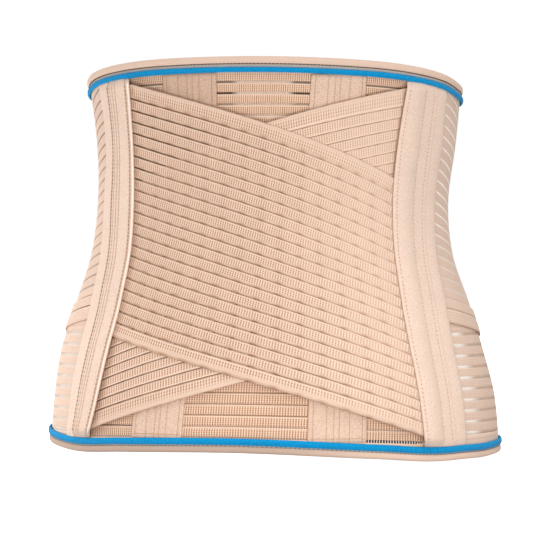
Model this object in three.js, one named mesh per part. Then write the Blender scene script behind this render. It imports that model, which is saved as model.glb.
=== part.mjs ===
// A lumbosacral support belt of ribbed elastic, in the form it has when worn.
// Millimetres, +Z up. The origin is the centre of the waist, the back faces -Y and +X is the wearer's right.
// A place on the belt is an angle in degrees round the body, 0 at the middle of the back and growing
// towards +X, a height in Z, and a lift outwards from the inner face of the belt.

import * as THREE from 'three';

// Body sections that the belt follows, from the bottom up; sway moves both flanks towards +X.
const SECTIONS = [
  { height: -200, halfWidth: 167.0, back: 118.0, front: 104, sway: 0 },
  { height: -150, halfWidth: 163.9, back: 112.0, front: 103, sway: -0.2 },
  { height: -115, halfWidth: 156.9, back: 104.5, front: 101, sway: -2.0 },
  { height: -80, halfWidth: 146.0, back: 96.0, front: 98, sway: -1.6 },
  { height: -45, halfWidth: 134.5, back: 90.0, front: 94, sway: -1.9 },
  { height: -5, halfWidth: 130.2, back: 87.5, front: 92, sway: -1.0 },
  { height: 40, halfWidth: 133.4, back: 90.0, front: 94, sway: 1.6 },
  { height: 100, halfWidth: 140.3, back: 94.5, front: 98, sway: 0 },
];

// Heights of the finished upper and lower edges round one half of the body, and how far they tilt.
const EDGES = [
  { angle: 0, top: 96.2, bottom: -185.0 },
  { angle: 33, top: 94.8, bottom: -187.8 },
  { angle: 50, top: 92.5, bottom: -190.1 },
  { angle: 67, top: 88.6, bottom: -188.2 },
  { angle: 82, top: 83.6, bottom: -185.8 },
  { angle: 105, top: 79.6, bottom: -184.0 },
  { angle: 140, top: 76.5, bottom: -180.0 },
  { angle: 180, top: 75.0, bottom: -177.0 },
];
const TOP_TILT = 2.2;
const BOTTOM_TILT = 2.8;

// The back seams lean a little: degrees of turn for each millimetre above LEAN_HEIGHT.
const LEAN_RATE = 0.0172;
const LEAN_HEIGHT = -67;

// Cloth thicknesses and the space between layers.
const WALL = 1.3;
const BAND_CLOTH = 1.1;
const TAPE_CLOTH = 1.4;
const TAPE_RIM_CLOTH = 1.9;
const LAYER_GAP = 0.4;
const TAPE_GAP = 0.7;
const BUTT_GAP = 0.4;

// Lifts of the layers, each clear of the one beneath.
const CASING_LIFT = WALL + LAYER_GAP;
const CASING_FLAT = 2.5;
const CASING_CHANNEL = 3.2;
const RISING_LIFT = 4.4;
const FALLING_LIFT = RISING_LIFT + BAND_CLOTH + LAYER_GAP;
const TAPE_OVER_BANDS = FALLING_LIFT + BAND_CLOTH + TAPE_GAP;
const OVERLAP_LIFT = WALL + LAYER_GAP;
const TAPE_OVER_SIDES = OVERLAP_LIFT + WALL + LAYER_GAP;

// Angles, in degrees, of the seams and of the facets between them.
const SIDE_SEAM = 52;
const FRONT_SEAM = 118;
const BAND_SLIT_END = 45.4;
const BAND_END = 47;
const BACK_ANGLES = [-32.5, -19.5, -6.5, 6.5, 19.5, 32.5];
const CENTRE_SLIT_END = 19.5;
const SIDE_SLIT_START = 57;
const SIDE_SLIT_STEP = 12;
const SIDE_SLIT_CELLS = 4;
const FRONT_CELLS = 8;

// Ribs: horizontal rows of the panels, and the slits between ribs.
const SLIT = 1.9;
const ROW_PITCH = 7.89;
const LOWEST_ROW = -174.45;
const BOTTOM_WINDOW_ROWS = [0, 1, 2, 3, 4];
const TOP_WINDOW_ROWS = [28, 29, 30, 31, 32];
const FULL_WIDTH_ROWS = [0, 1, 31, 32];
const SIDE_PANEL_ROWS = 10;
const SIDE_LOWEST_ROW = -173.2;
const SIDE_ROW_PITCH = 7.79;
const PLAIN_ROW_STEP = 28;

// Crossing bands: upper is the height of the upper edge at the middle of the back, and extent the upright
// measure of the band. Over BAND_HALF_SPAN degrees a band falls by BAND_FALL, and its upper and lower edges
// bow down at both ends by bows; halfway across it the ribs sag by BAND_SAG and fall by BAND_BULGE more.
const BANDS = [
  { name: 'rising_band', fall: -1, upper: 47.6, extent: 182.7, bows: [10.9, 1.2], lift: RISING_LIFT },
  { name: 'falling_band', fall: 1, upper: 49.5, extent: 184.7, bows: [4.7, 3.1], lift: FALLING_LIFT },
];
const BAND_HALF_SPAN = 45;
const BAND_FALL = 35.3;
const BAND_SAG = 2.2;
const BAND_BULGE = 2.2;
const BAND_RIBS = 22;
const BAND_SELVAGE = 10.4;

// Side bands: heights at SIDE_BAND_REFERENCE degrees, fall of the ribs in millimetres for each degree,
// and the overlap on the panel, whose covered rows are squeezed together.
const SIDE_BAND_SLITS = 21;
const SIDE_BAND_PITCH = 8.03;
const SIDE_BAND_FALL = 0.46;
const SIDE_BAND_FIRST_SLIT = 74.3;
const SIDE_BAND_EDGE = -97;
const SIDE_BAND_REFERENCE = 70;
const SIDE_OVERLAP = 8.5;
const SQUEEZED_ROW = 0.5;
const OVERLAP_FLAT = 13;
const OVERLAP_RAMP = 7;

// Stay casings: centre angle and the raised channels across the width.
const CASING_ANGLE = 23;
const CASING_PROFILE = [
  { offset: -21.5, lift: CASING_FLAT },
  { offset: -18.2, lift: CASING_FLAT },
  { offset: -13.5, lift: CASING_CHANNEL },
  { offset: -8.5, lift: CASING_FLAT },
  { offset: 8.5, lift: CASING_FLAT },
  { offset: 13.5, lift: CASING_CHANNEL },
  { offset: 18.2, lift: CASING_FLAT },
  { offset: 21.5, lift: CASING_FLAT },
];

// Seam tapes: angle of the inner edge, width, and how a tape steps down from the band ends to the sides.
const TAPES = [
  { name: 'left_seam_tape', side: -1, edge: 43, width: 33.5 },
  { name: 'right_seam_tape', side: 1, edge: 44.4, width: 40.5 },
];
const TAPE_RIM = 3;
const TAPE_STEP_START = 10.5;
const TAPE_STEP_END = 19;
const UPRIGHT_ROWS = 10;

// Bindings fold over the edges; the piping lies on the outer face just inside them.
const BINDING_CLOTH = 1.1;
const BINDING_WEB = 1.2;
const TOP_BINDING_DEPTH = 6.9;
const BOTTOM_BINDING_DEPTH = 5.5;
const PIPING_HALF_HEIGHT = 2;
const PIPING_HALF_LIFT = 1.2;
const PIPING_SIDES = 6;
const TOP_PIPING_DEPTH = TOP_BINDING_DEPTH + LAYER_GAP + PIPING_HALF_HEIGHT;
const BOTTOM_PIPING_DEPTH = BOTTOM_BINDING_DEPTH + LAYER_GAP + PIPING_HALF_HEIGHT;

const BEIGE = { color: '#e6c6aa', roughness: 0.9, metalness: 0 };
const PALE_BEIGE = { color: '#ead0b8', roughness: 0.85, metalness: 0 };
const BLUE = { color: '#1493da', roughness: 0.75, metalness: 0 };

const SLOPE_STEP = 0.5;
const radians = THREE.MathUtils.degToRad;
const degrees = THREE.MathUtils.radToDeg;

// Whole numbers from a first one.
function countFrom(first, length) {
  return Array.from({ length }, (_, step) => first + step);
}

// Smooth curve through one column of a table.
function curveThrough(table, key, column, ending) {
  const keys = new Float32Array(table.map((row) => row[key]));
  const values = new Float32Array(table.map((row) => row[column]));
  const curve = new THREE.CubicInterpolant(keys, values, 1);
  curve.settings = { endingStart: ending, endingEnd: ending };
  return (at) => curve.evaluate(at)[0];
}

const halfWidthAt = curveThrough(SECTIONS, 'height', 'halfWidth', THREE.ZeroCurvatureEnding);
const backAt = curveThrough(SECTIONS, 'height', 'back', THREE.ZeroCurvatureEnding);
const frontAt = curveThrough(SECTIONS, 'height', 'front', THREE.ZeroCurvatureEnding);
const swayAt = curveThrough(SECTIONS, 'height', 'sway', THREE.ZeroCurvatureEnding);
const topCurve = curveThrough(EDGES, 'angle', 'top', THREE.ZeroSlopeEnding);
const bottomCurve = curveThrough(EDGES, 'angle', 'bottom', THREE.ZeroSlopeEnding);

// Angle folded into 0 to 180 degrees, the half that the edge table covers.
function foldAngle(angle) {
  return degrees(Math.acos(Math.cos(radians(angle))));
}

function topEdge(angle) {
  return topCurve(foldAngle(angle)) - TOP_TILT * Math.sin(radians(angle));
}

function bottomEdge(angle) {
  return bottomCurve(foldAngle(angle)) - BOTTOM_TILT * Math.sin(radians(angle));
}

// Slope of a curve, taken over a short step.
function slopeOf(curve, at) {
  return (curve(at + SLOPE_STEP) - curve(at - SLOPE_STEP)) / (2 * SLOPE_STEP);
}

// Point of the belt: two half ellipses at each height, lifted along the surface normal.
function skin(angle, height, lift) {
  const lean = LEAN_RATE * (height - LEAN_HEIGHT) * Math.max(0, Math.cos(radians(angle)));
  const turn = radians(angle + lean);
  const across = Math.sin(turn);
  const along = Math.cos(turn);
  const depthAt = along > 0 ? backAt : frontAt;
  const width = halfWidthAt(height);
  const depth = depthAt(height);
  const widthSlope = slopeOf(halfWidthAt, height);
  const depthSlope = slopeOf(depthAt, height);
  const rise = -(width * depthSlope * along * along + depth * widthSlope * across * across);
  const normal = new THREE.Vector3(depth * across, -width * along, rise).normalize();
  const sideways = width * across + swayAt(height) * across * across;
  return new THREE.Vector3(sideways, -depth * along, height).addScaledVector(normal, lift);
}

// Degrees that a length takes up round the body, near an angle and a height.
function degreesFor(length, angle, height) {
  const turn = radians(angle);
  const speed = Math.hypot(halfWidthAt(height) * Math.cos(turn), backAt(height) * Math.sin(turn));
  return degrees(length / speed);
}

function closedMesh(points, triangles) {
  const geometry = new THREE.BufferGeometry();
  const positions = points.flatMap((point) => point.toArray());
  geometry.setAttribute('position', new THREE.Float32BufferAttribute(positions, 3));
  geometry.setIndex(triangles);
  geometry.computeVertexNormals();
  return geometry;
}

// Closed cloth wall on a grid. place(row, column) gives angle, height, inner lift and cloth thickness,
// rows running down and columns towards +X, and isGap(row, column) leaves a cell open.
function clothWall(rowCount, columnCount, place, isGap) {
  const points = [];
  const triangles = [];
  const index = (row, column, layer) => 2 * (row * columnCount + column) + layer;
  const isCloth = (row, column) => row >= 0 && row < rowCount - 1 && column >= 0
    && column < columnCount - 1 && !isGap(row, column);

  for (let row = 0; row < rowCount; row += 1) {
    for (let column = 0; column < columnCount; column += 1) {
      const { angle, height, lift, cloth } = place(row, column);
      points.push(skin(angle, height, lift), skin(angle, height, lift + cloth));
    }
  }

  const quad = (a, b, c, d) => triangles.push(a, b, c, a, c, d);
  for (let row = 0; row < rowCount - 1; row += 1) {
    for (let column = 0; column < columnCount - 1; column += 1) {
      if (!isCloth(row, column)) continue;
      const corners = [[row + 1, column], [row + 1, column + 1], [row, column + 1], [row, column]];
      const beside = [[row + 1, column], [row, column + 1], [row - 1, column], [row, column - 1]];
      quad(...corners.map(([r, c]) => index(r, c, 1)));
      quad(...corners.map(([r, c]) => index(r, c, 0)).reverse());
      corners.forEach((from, side) => {
        if (isCloth(...beside[side])) return;
        const to = corners[(side + 1) % corners.length];
        quad(index(...to, 1), index(...from, 1), index(...from, 0), index(...to, 0));
      });
    }
  }
  return closedMesh(dropUnused(points, triangles), triangles);
}

// Keeps only the points that a triangle uses, renumbering the triangles in place.
function dropUnused(points, triangles) {
  const used = [...new Set(triangles)].sort((a, b) => a - b);
  const renumber = new Map(used.map((old, fresh) => [old, fresh]));
  triangles.forEach((old, place) => { triangles[place] = renumber.get(old); });
  return used.map((old) => points[old]);
}

// Closed ring that carries a section of { lift, drop } points round the belt.
function edgeRing(section, heightAt) {
  const points = [];
  const triangles = [];
  const angles = ringAngles();
  const index = (column, corner) => (column % angles.length) * section.length + (corner % section.length);
  angles.forEach((angle, column) => {
    section.forEach(({ lift, drop }, corner) => {
      points.push(skin(angle, heightAt(angle) - drop, lift));
      const a = index(column, corner);
      const b = index(column + 1, corner);
      const c = index(column + 1, corner + 1);
      const d = index(column, corner + 1);
      triangles.push(a, b, c, a, c, d);
    });
  });
  return closedMesh(points, triangles);
}

// Facet angles of the pieces, so that layers share them.
function backAngles(end) {
  return [-end, -BAND_SLIT_END, ...BACK_ANGLES, BAND_SLIT_END, end];
}

function sideAngles() {
  const slits = countFrom(0, SIDE_SLIT_CELLS + 1).map((cell) => SIDE_SLIT_START + cell * SIDE_SLIT_STEP);
  return [SIDE_SEAM, ...slits, FRONT_SEAM];
}

function frontAngles() {
  const step = (360 - 2 * FRONT_SEAM) / FRONT_CELLS;
  return countFrom(0, FRONT_CELLS + 1).map((cell) => FRONT_SEAM + cell * step);
}

function ringAngles() {
  const right = sideAngles().slice(1);
  const left = right.map((angle) => 360 - angle).reverse();
  return [...backAngles(SIDE_SEAM), ...right, ...frontAngles().slice(1, -1), ...left];
}

// Limits of a wall inside the folded bindings, and of what lies on it between the pipings.
function wallTop(angle) {
  return topEdge(angle) - BINDING_WEB - LAYER_GAP;
}

function wallBottom(angle) {
  return bottomEdge(angle) + BINDING_WEB + LAYER_GAP;
}

function betweenPipingTop(angle) {
  return topEdge(angle) - TOP_PIPING_DEPTH - PIPING_HALF_HEIGHT - LAYER_GAP;
}

function betweenPipingBottom(angle) {
  return bottomEdge(angle) + BOTTOM_PIPING_DEPTH + PIPING_HALF_HEIGHT + LAYER_GAP;
}

function rowHeight(row) {
  return LOWEST_ROW + row * ROW_PITCH;
}

function sideRowHeight(row) {
  return SIDE_LOWEST_ROW + row * SIDE_ROW_PITCH;
}

// The two rims of the slit at a height, or at a drop, the larger first.
function slitRims(middle) {
  return [middle + SLIT / 2, middle - SLIT / 2];
}

// Heights that part a plain stretch into rows no taller than PLAIN_ROW_STEP.
function plainRows(upper, lower) {
  const count = Math.ceil((upper - lower) / PLAIN_ROW_STEP);
  return countFrom(1, count - 1).map((row) => THREE.MathUtils.lerp(upper, lower, row / count));
}

// Base panel: its slits lie where the layers above leave it in view.
function backPanel() {
  const angles = backAngles(SIDE_SEAM - degreesFor(BUTT_GAP / 2, SIDE_SEAM, 0));
  const topSlits = TOP_WINDOW_ROWS.toReversed();
  const bottomSlits = BOTTOM_WINDOW_ROWS.toReversed();
  const topRims = topSlits.flatMap((row) => slitRims(rowHeight(row)));
  const bottomRims = bottomSlits.flatMap((row) => slitRims(rowHeight(row)));
  const middle = plainRows(topRims.at(-1), bottomRims[0]);
  const heights = [...topRims, ...middle, ...bottomRims];
  const firstBottomRim = 1 + topRims.length + middle.length;
  const rowCount = heights.length + 2;

  const slitRowAt = (row) => {
    const top = (row - 1) / 2;
    const bottom = (row - firstBottomRim) / 2;
    return topSlits[top] ?? bottomSlits[bottom];
  };
  const isGap = (row, column) => {
    const slit = slitRowAt(row);
    if (slit === undefined) return false;
    const reach = FULL_WIDTH_ROWS.includes(slit) ? BAND_SLIT_END : CENTRE_SLIT_END;
    return angles[column] >= -reach && angles[column + 1] <= reach;
  };
  const place = (row, column) => {
    const angle = angles[column];
    const rims = [wallTop(angle), ...heights, wallBottom(angle)];
    return { angle, height: rims[row], lift: 0, cloth: WALL };
  };
  return clothWall(rowCount, angles.length, place, isGap);
}

// Height at an angle of a side band's line, given its height at the reference angle.
function sideBandLine(angle, atReference) {
  return atReference - SIDE_BAND_FALL * (Math.abs(angle) - SIDE_BAND_REFERENCE);
}

// Facet angles of one side, from left to right, kept clear of the seams at both ends.
function sidePieceAngles(side) {
  const angles = sideAngles();
  const butt = degreesFor(BUTT_GAP / 2, SIDE_SEAM, 0);
  angles[0] += butt;
  angles[angles.length - 1] -= butt;
  return side > 0 ? angles : angles.map((angle) => -angle).reverse();
}

function isSlitCell(angles, column) {
  const near = Math.min(Math.abs(angles[column]), Math.abs(angles[column + 1]));
  const far = Math.max(Math.abs(angles[column]), Math.abs(angles[column + 1]));
  return near >= SIDE_SLIT_START && far <= SIDE_SLIT_START + SIDE_SLIT_CELLS * SIDE_SLIT_STEP;
}

// Upper side band: its ribs fall towards the front, and its lower edge lies over the side panel.
function sideBand(side) {
  const angles = sidePieceAngles(side);
  const slits = countFrom(0, SIDE_BAND_SLITS).map((slit) => SIDE_BAND_FIRST_SLIT - slit * SIDE_BAND_PITCH);
  const lines = [...slits.flatMap(slitRims), SIDE_BAND_EDGE];
  const rowCount = lines.length + 1;
  const isGap = (row, column) => {
    const nearest = Math.min(Math.abs(angles[column]), Math.abs(angles[column + 1]));
    const isCutOff = row === 1 && nearest < SIDE_BAND_REFERENCE;
    return row % 2 === 1 && row < rowCount - 2 && isSlitCell(angles, column) && !isCutOff;
  };
  const place = (row, column) => {
    const angle = angles[column];
    const height = row === 0 ? wallTop(angle) : sideBandLine(angle, lines[row - 1]);
    const aboveEdge = height - sideBandLine(angle, SIDE_BAND_EDGE);
    const share = THREE.MathUtils.clamp((OVERLAP_FLAT + OVERLAP_RAMP - aboveEdge) / OVERLAP_RAMP, 0, 1);
    return { angle, height, lift: OVERLAP_LIFT * share, cloth: WALL };
  };
  return clothWall(rowCount, angles.length, place, isGap);
}

// Lower side panel: horizontal ribs below the side band's edge, and a tab that runs up behind it.
function sidePanel(side) {
  const angles = sidePieceAngles(side);
  const rows = countFrom(0, SIDE_PANEL_ROWS).reverse();
  const rims = rows.flatMap((row) => slitRims(sideRowHeight(row)));
  const rowCount = rims.length + 2;
  const edgeAt = (angle) => sideBandLine(angle, SIDE_BAND_EDGE);
  const isOpen = (row, angle) => rims[row - 1] < edgeAt(angle);
  const isGap = (row, column) => row % 2 === 1 && row < rowCount - 1 && isSlitCell(angles, column)
    && isOpen(row, angles[column]) && isOpen(row, angles[column + 1]);
  const place = (row, column) => {
    const angle = angles[column];
    const upper = edgeAt(angle) + SIDE_OVERLAP;
    const limits = [upper, ...rims, wallBottom(angle)];
    const height = Math.min(limits[row], upper - row * SQUEEZED_ROW);
    return { angle, height, lift: 0, cloth: WALL };
  };
  return clothWall(rowCount, angles.length, place, isGap);
}

// Plain front of the belt.
function frontClosure() {
  const angles = frontAngles();
  const rowCount = Math.ceil((topEdge(180) - bottomEdge(180)) / PLAIN_ROW_STEP) + 1;
  const butt = degreesFor(BUTT_GAP / 2, FRONT_SEAM, 0);
  angles[0] += butt;
  angles[angles.length - 1] -= butt;
  const place = (row, column) => {
    const angle = angles[column];
    const share = row / (rowCount - 1);
    const height = THREE.MathUtils.lerp(wallTop(angle), wallBottom(angle), share);
    return { angle, height, lift: 0, cloth: WALL };
  };
  return clothWall(rowCount, angles.length, place, () => false);
}

// Height of a band's line at an angle, for its drop below the upper edge.
function bandLine({ fall, upper, extent, bows }, angle, drop) {
  const along = angle / BAND_HALF_SPAN;
  const share = drop / extent;
  const halfway = 4 * share * (1 - share);
  const bow = THREE.MathUtils.lerp(...bows, share);
  const slope = fall * (BAND_FALL + BAND_BULGE * halfway);
  return upper - drop - BAND_SAG * halfway - slope * along - bow * along * along;
}

// Crossing band: ribs along lines that fall (+1) or rise (-1) towards +X.
function crossingBand(band) {
  const angles = backAngles(BAND_END);
  const pitch = (band.extent - 2 * BAND_SELVAGE) / (BAND_RIBS - 2);
  const slits = countFrom(0, BAND_RIBS - 1).map((slit) => BAND_SELVAGE + slit * pitch);
  const rims = slits.flatMap((drop) => slitRims(drop).reverse());
  const drops = [0, ...rims, band.extent];
  const isGap = (row, column) => row % 2 === 1 && row < drops.length - 1
    && angles[column] >= -BAND_SLIT_END && angles[column + 1] <= BAND_SLIT_END;
  const place = (row, column) => {
    const angle = angles[column];
    return { angle, height: bandLine(band, angle, drops[row]), lift: band.lift, cloth: BAND_CLOTH };
  };
  return clothWall(drops.length, angles.length, place, isGap);
}

// Upright piece that runs from piping to piping.
function upright(columns, angleAt, columnLift) {
  const place = (row, column) => {
    const share = row / UPRIGHT_ROWS;
    const middle = angleAt(column, 0);
    const upper = betweenPipingTop(middle);
    const lower = betweenPipingBottom(middle);
    const height = THREE.MathUtils.lerp(upper, lower, share);
    return { angle: angleAt(column, height), height, ...columnLift(column) };
  };
  return clothWall(UPRIGHT_ROWS + 1, columns, place, () => false);
}

function stayCasing(side) {
  const centre = side * CASING_ANGLE;
  const angleAt = (column, height) => centre + degreesFor(CASING_PROFILE[column].offset, centre, height);
  const columnLift = (column) => ({ lift: CASING_LIFT, cloth: CASING_PROFILE[column].lift - CASING_LIFT });
  return upright(CASING_PROFILE.length, angleAt, columnLift);
}

// Seam tape: its inner part lies over the band ends, its outer part on the sides.
function seamTape({ side, edge, width }) {
  const profile = [
    { offset: 0, lift: TAPE_OVER_BANDS, cloth: TAPE_CLOTH },
    { offset: TAPE_RIM, lift: TAPE_OVER_BANDS, cloth: TAPE_RIM_CLOTH },
    { offset: TAPE_STEP_START, lift: TAPE_OVER_BANDS, cloth: TAPE_CLOTH },
    { offset: TAPE_STEP_END, lift: TAPE_OVER_SIDES, cloth: TAPE_CLOTH },
    { offset: (TAPE_STEP_END + width) / 2, lift: TAPE_OVER_SIDES, cloth: TAPE_CLOTH },
    { offset: width, lift: TAPE_OVER_SIDES, cloth: TAPE_CLOTH },
  ];
  if (side < 0) profile.reverse();
  const angleAt = (column, height) => {
    const middle = edge + degreesFor(width / 2, edge, height);
    return side * (edge + degreesFor(profile[column].offset, middle, height));
  };
  const columnLift = (column) => ({ lift: profile[column].lift, cloth: profile[column].cloth });
  return upright(profile.length, angleAt, columnLift);
}

// Folded binding: inner leg, web over the edge and outer leg, the fold pointing up (+1) or down (-1).
function binding(fold, depth, edgeAt) {
  const inner = -LAYER_GAP - BINDING_CLOTH;
  const outer = WALL + LAYER_GAP + BINDING_CLOTH;
  const outline = [
    { lift: outer, drop: depth },
    { lift: outer, drop: 0 },
    { lift: inner, drop: 0 },
    { lift: inner, drop: depth },
    { lift: inner + BINDING_CLOTH, drop: depth },
    { lift: inner + BINDING_CLOTH, drop: BINDING_WEB },
    { lift: outer - BINDING_CLOTH, drop: BINDING_WEB },
    { lift: outer - BINDING_CLOTH, drop: depth },
  ].map(({ lift, drop }) => ({ lift, drop: fold * drop }));
  return edgeRing(fold > 0 ? outline : outline.reverse(), edgeAt);
}

// Round piping, flattened against the belt.
function piping(drop, edgeAt) {
  const centreLift = WALL + LAYER_GAP + PIPING_HALF_LIFT;
  const outline = countFrom(0, PIPING_SIDES).map((corner) => {
    const turn = 2 * Math.PI * (corner + 0.5) / PIPING_SIDES;
    return {
      lift: centreLift + PIPING_HALF_LIFT * Math.cos(turn) / Math.cos(Math.PI / PIPING_SIDES),
      drop: drop - PIPING_HALF_HEIGHT * Math.sin(turn),
    };
  });
  return edgeRing(outline, edgeAt);
}

const belt = new THREE.Group();

function addPiece(name, geometry, finish) {
  const mesh = new THREE.Mesh(geometry, new THREE.MeshStandardMaterial(finish));
  mesh.name = name;
  belt.add(mesh);
}

addPiece('back_panel', backPanel(), BEIGE);
for (const [side, name] of [[-1, 'left'], [1, 'right']]) {
  addPiece(`${name}_side_panel`, sidePanel(side), BEIGE);
  addPiece(`${name}_side_band`, sideBand(side), BEIGE);
  addPiece(`${name}_stay_casing`, stayCasing(side), PALE_BEIGE);
}
BANDS.forEach((band) => addPiece(band.name, crossingBand(band), BEIGE));
TAPES.forEach((tape) => addPiece(tape.name, seamTape(tape), PALE_BEIGE));
addPiece('front_closure', frontClosure(), BEIGE);
addPiece('top_binding', binding(1, TOP_BINDING_DEPTH, topEdge), PALE_BEIGE);
addPiece('bottom_binding', binding(-1, BOTTOM_BINDING_DEPTH, bottomEdge), PALE_BEIGE);
addPiece('top_piping', piping(TOP_PIPING_DEPTH, topEdge), BLUE);
addPiece('bottom_piping', piping(-BOTTOM_PIPING_DEPTH, bottomEdge), BLUE);

export default belt;
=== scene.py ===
"""A lumbosacral support belt of ribbed elastic, in the form it has when worn.

Sizes are millimetres until a mesh is made. A place on the belt is an angle in degrees round the body, 0 at
the middle of the back and growing towards +X, a height along Z, and a lift outwards from the inner face.
"""

import math

import bpy
import numpy as np
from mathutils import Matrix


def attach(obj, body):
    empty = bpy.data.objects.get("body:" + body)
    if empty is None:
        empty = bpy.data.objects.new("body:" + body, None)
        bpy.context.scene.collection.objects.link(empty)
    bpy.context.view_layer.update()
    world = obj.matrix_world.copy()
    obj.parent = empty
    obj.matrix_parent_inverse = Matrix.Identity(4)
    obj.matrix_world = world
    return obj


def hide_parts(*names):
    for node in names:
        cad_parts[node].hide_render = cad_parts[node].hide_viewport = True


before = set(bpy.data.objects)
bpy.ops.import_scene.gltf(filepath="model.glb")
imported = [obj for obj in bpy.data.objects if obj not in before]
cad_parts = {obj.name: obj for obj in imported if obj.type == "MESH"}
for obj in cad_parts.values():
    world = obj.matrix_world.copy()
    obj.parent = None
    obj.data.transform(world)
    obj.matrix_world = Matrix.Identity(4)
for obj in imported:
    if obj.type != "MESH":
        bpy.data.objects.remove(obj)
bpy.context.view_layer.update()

METRE = 0.001

# Body sections that the belt follows: height, half width, reach to the back, reach to the front, sway to +X.
SECTIONS = np.array([
    (-200, 167.0, 118.0, 104, 0.0),
    (-150, 163.9, 112.0, 103, -0.2),
    (-115, 156.9, 104.5, 101, -2.0),
    (-80, 146.0, 96.0, 98, -1.6),
    (-45, 134.5, 90.0, 94, -1.9),
    (-5, 130.2, 87.5, 92, -1.0),
    (40, 133.4, 90.0, 94, 1.6),
    (100, 140.3, 94.5, 98, 0.0),
])

# Finished edges round one half of the body: angle, upper edge, lower edge.
EDGES = np.array([
    (0, 96.2, -185.0),
    (33, 94.8, -187.8),
    (50, 92.5, -190.1),
    (67, 88.6, -188.2),
    (82, 83.6, -185.8),
    (105, 79.6, -184.0),
    (140, 76.5, -180.0),
    (180, 75.0, -177.0),
])

# Tilt of the edges towards +X, the further drop of the lower edge at the right flank, from a share of the
# half width on, and the lean of the back seams, in degrees for each millimetre above a height.
TOP_TILT = 2.2
BOTTOM_TILT = 2.8
RIGHT_DROP = 1.8
RIGHT_DROP_START = 0.85
LEAN_RATE = 0.0172
LEAN_HEIGHT = -67

# Thickness of the wall, of its ribs and of the crossing bands' ribs.
WALL = 1.3
RIB_THICKNESS = 1.5
BAND_THICKNESS = 1.35

# Lifts of the layers, from the inner face outwards, and the length of the slope at the ends of the tapes.
CASING_LIFT = 1.7
RISING_LIFT = 4.4
FALLING_LIFT = 5.9
TAPE_OVER_BANDS = 7.7
OVERLAP_LIFT = 1.7
TAPE_OVER_SIDES = 3.4
TAPE_END_SLOPE = 5

# Angles of the seams, of the casings and of the slit ends.
SIDE_SEAM = 51.9
SIDE_START = 52.1
FRONT_SEAM = 117.98
FRONT_START = 118.02
BAND_END = 47
CASING_ANGLE = 23
CENTRE_SLIT_END = 19.5
WIDE_SLIT_END = 45.4
SIDE_SLIT_START = 57
SIDE_SLIT_END = 105
SLIT_TAPER = 2.0

# Heights at which equal steps of arc length are measured.
BACK_ARC = -50
SIDE_BAND_ARC = -10
SIDE_PANEL_ARC = -150

# Width of a closed slit, and the room between a wall and the edge of its binding.
CLOSED_SLIT = 0.04
EDGE_CLEARANCE = 1.6

# Horizontal rows of the base panel, with the width of the slits in the windows and in their corners. Near
# an edge the rows follow a share of its rise and fall, which grows between two heights.
ROW_PITCH = 7.89
LOWEST_ROW = -174.45
ROWS = 33
WINDOW_ROWS = 5
WIDE_ROWS = (0, 1, 31, 32)
PANEL_SLIT = 1.15
LOW_PANEL_SLIT = 0.4
CORNER_SLIT = 0.9
CORNER_START = 29
CORNER_TAPER = 1
HIGH_CORNER_CLOSING = 0.4
LOW_FOLLOW = 0.6
LOW_FOLLOW_HEIGHTS = (-120, -172)
HIGH_FOLLOW = 0.9
HIGH_FOLLOW_HEIGHTS = (45, 80)
PANEL_TICKS = 147
HIDDEN_COLUMNS = 50

# Horizontal rows of the side panels, which keep a least height where the upper edge squeezes them. The slits
# and the painted shade of their strands change between two angles.
SIDE_ROW_PITCH = 7.79
SIDE_LOWEST_ROW = -173.2
SIDE_PANEL_ROWS = 10
SQUEEZED_ROW = 1
SIDE_SLIT_CHANGE = (66, 76)
SIDE_SHADE_CHANGE = (66, 73)

# Crossing bands: the half span in degrees, the fall over it, how the middle ribs sag, fall more and bow, the
# number of ribs, the height of the two outermost ones and the ticks along a rib.
BAND_HALF_SPAN = 45
BAND_FALL = 35.3
BAND_SAG = 2.2
BAND_BULGE = 2.2
BAND_MIDDLE_BOW = 1.3
BAND_RIBS = 22
BAND_SELVAGE = 10.4
BAND_TICKS = 123

# Side bands: heights at the reference angle, the fall of the ribs for each degree, and the overlap on the
# side panels, with the heights above the edge up to which the band lies flat on them and slopes down.
SIDE_BAND_SLITS = 21
SIDE_BAND_PITCH = 8.03
SIDE_BAND_EDGE_FALL = 0.32
SIDE_BAND_TOP_FALL = 0.7
SIDE_BAND_FIRST_SLIT = 74.3
SIDE_BAND_EDGE = -97
SIDE_BAND_REFERENCE = 70
SIDE_OVERLAP = 8.5
OVERLAP_FLAT = 13
OVERLAP_RAMP = 7
SIDE_TICKS = 76

# Bindings and piping: depth of the outer leg, depth of the cord below the edge, its half height and swell.
TOP_BINDING_DEPTH = 5.0
BOTTOM_BINDING_DEPTH = 4.6
TOP_CORD_DEPTH = 9.5
BOTTOM_CORD_DEPTH = 7.8
TOP_CORD_HALF = 1.8
TOP_CORD_SWELL = 0.2
BOTTOM_CORD_HALF = 2.35
BOTTOM_CORD_SWELL = 0

# The photograph's frame, in pixels, and its camera, with distance and height in metres.
PHOTO_PIXELS = 540
FOCAL_PIXELS = 2538
AXIS_PIXEL = 273.5
CAMERA_DISTANCE = 1.9
CAMERA_AZIMUTH = math.radians(8)
CAMERA_HEIGHT = -0.056
SENSOR_WIDTH = 36

# Body form: the step for slopes, and the samples along an arc.
SLOPE_STEP = 0.5
ARC_SAMPLES = 721


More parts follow.
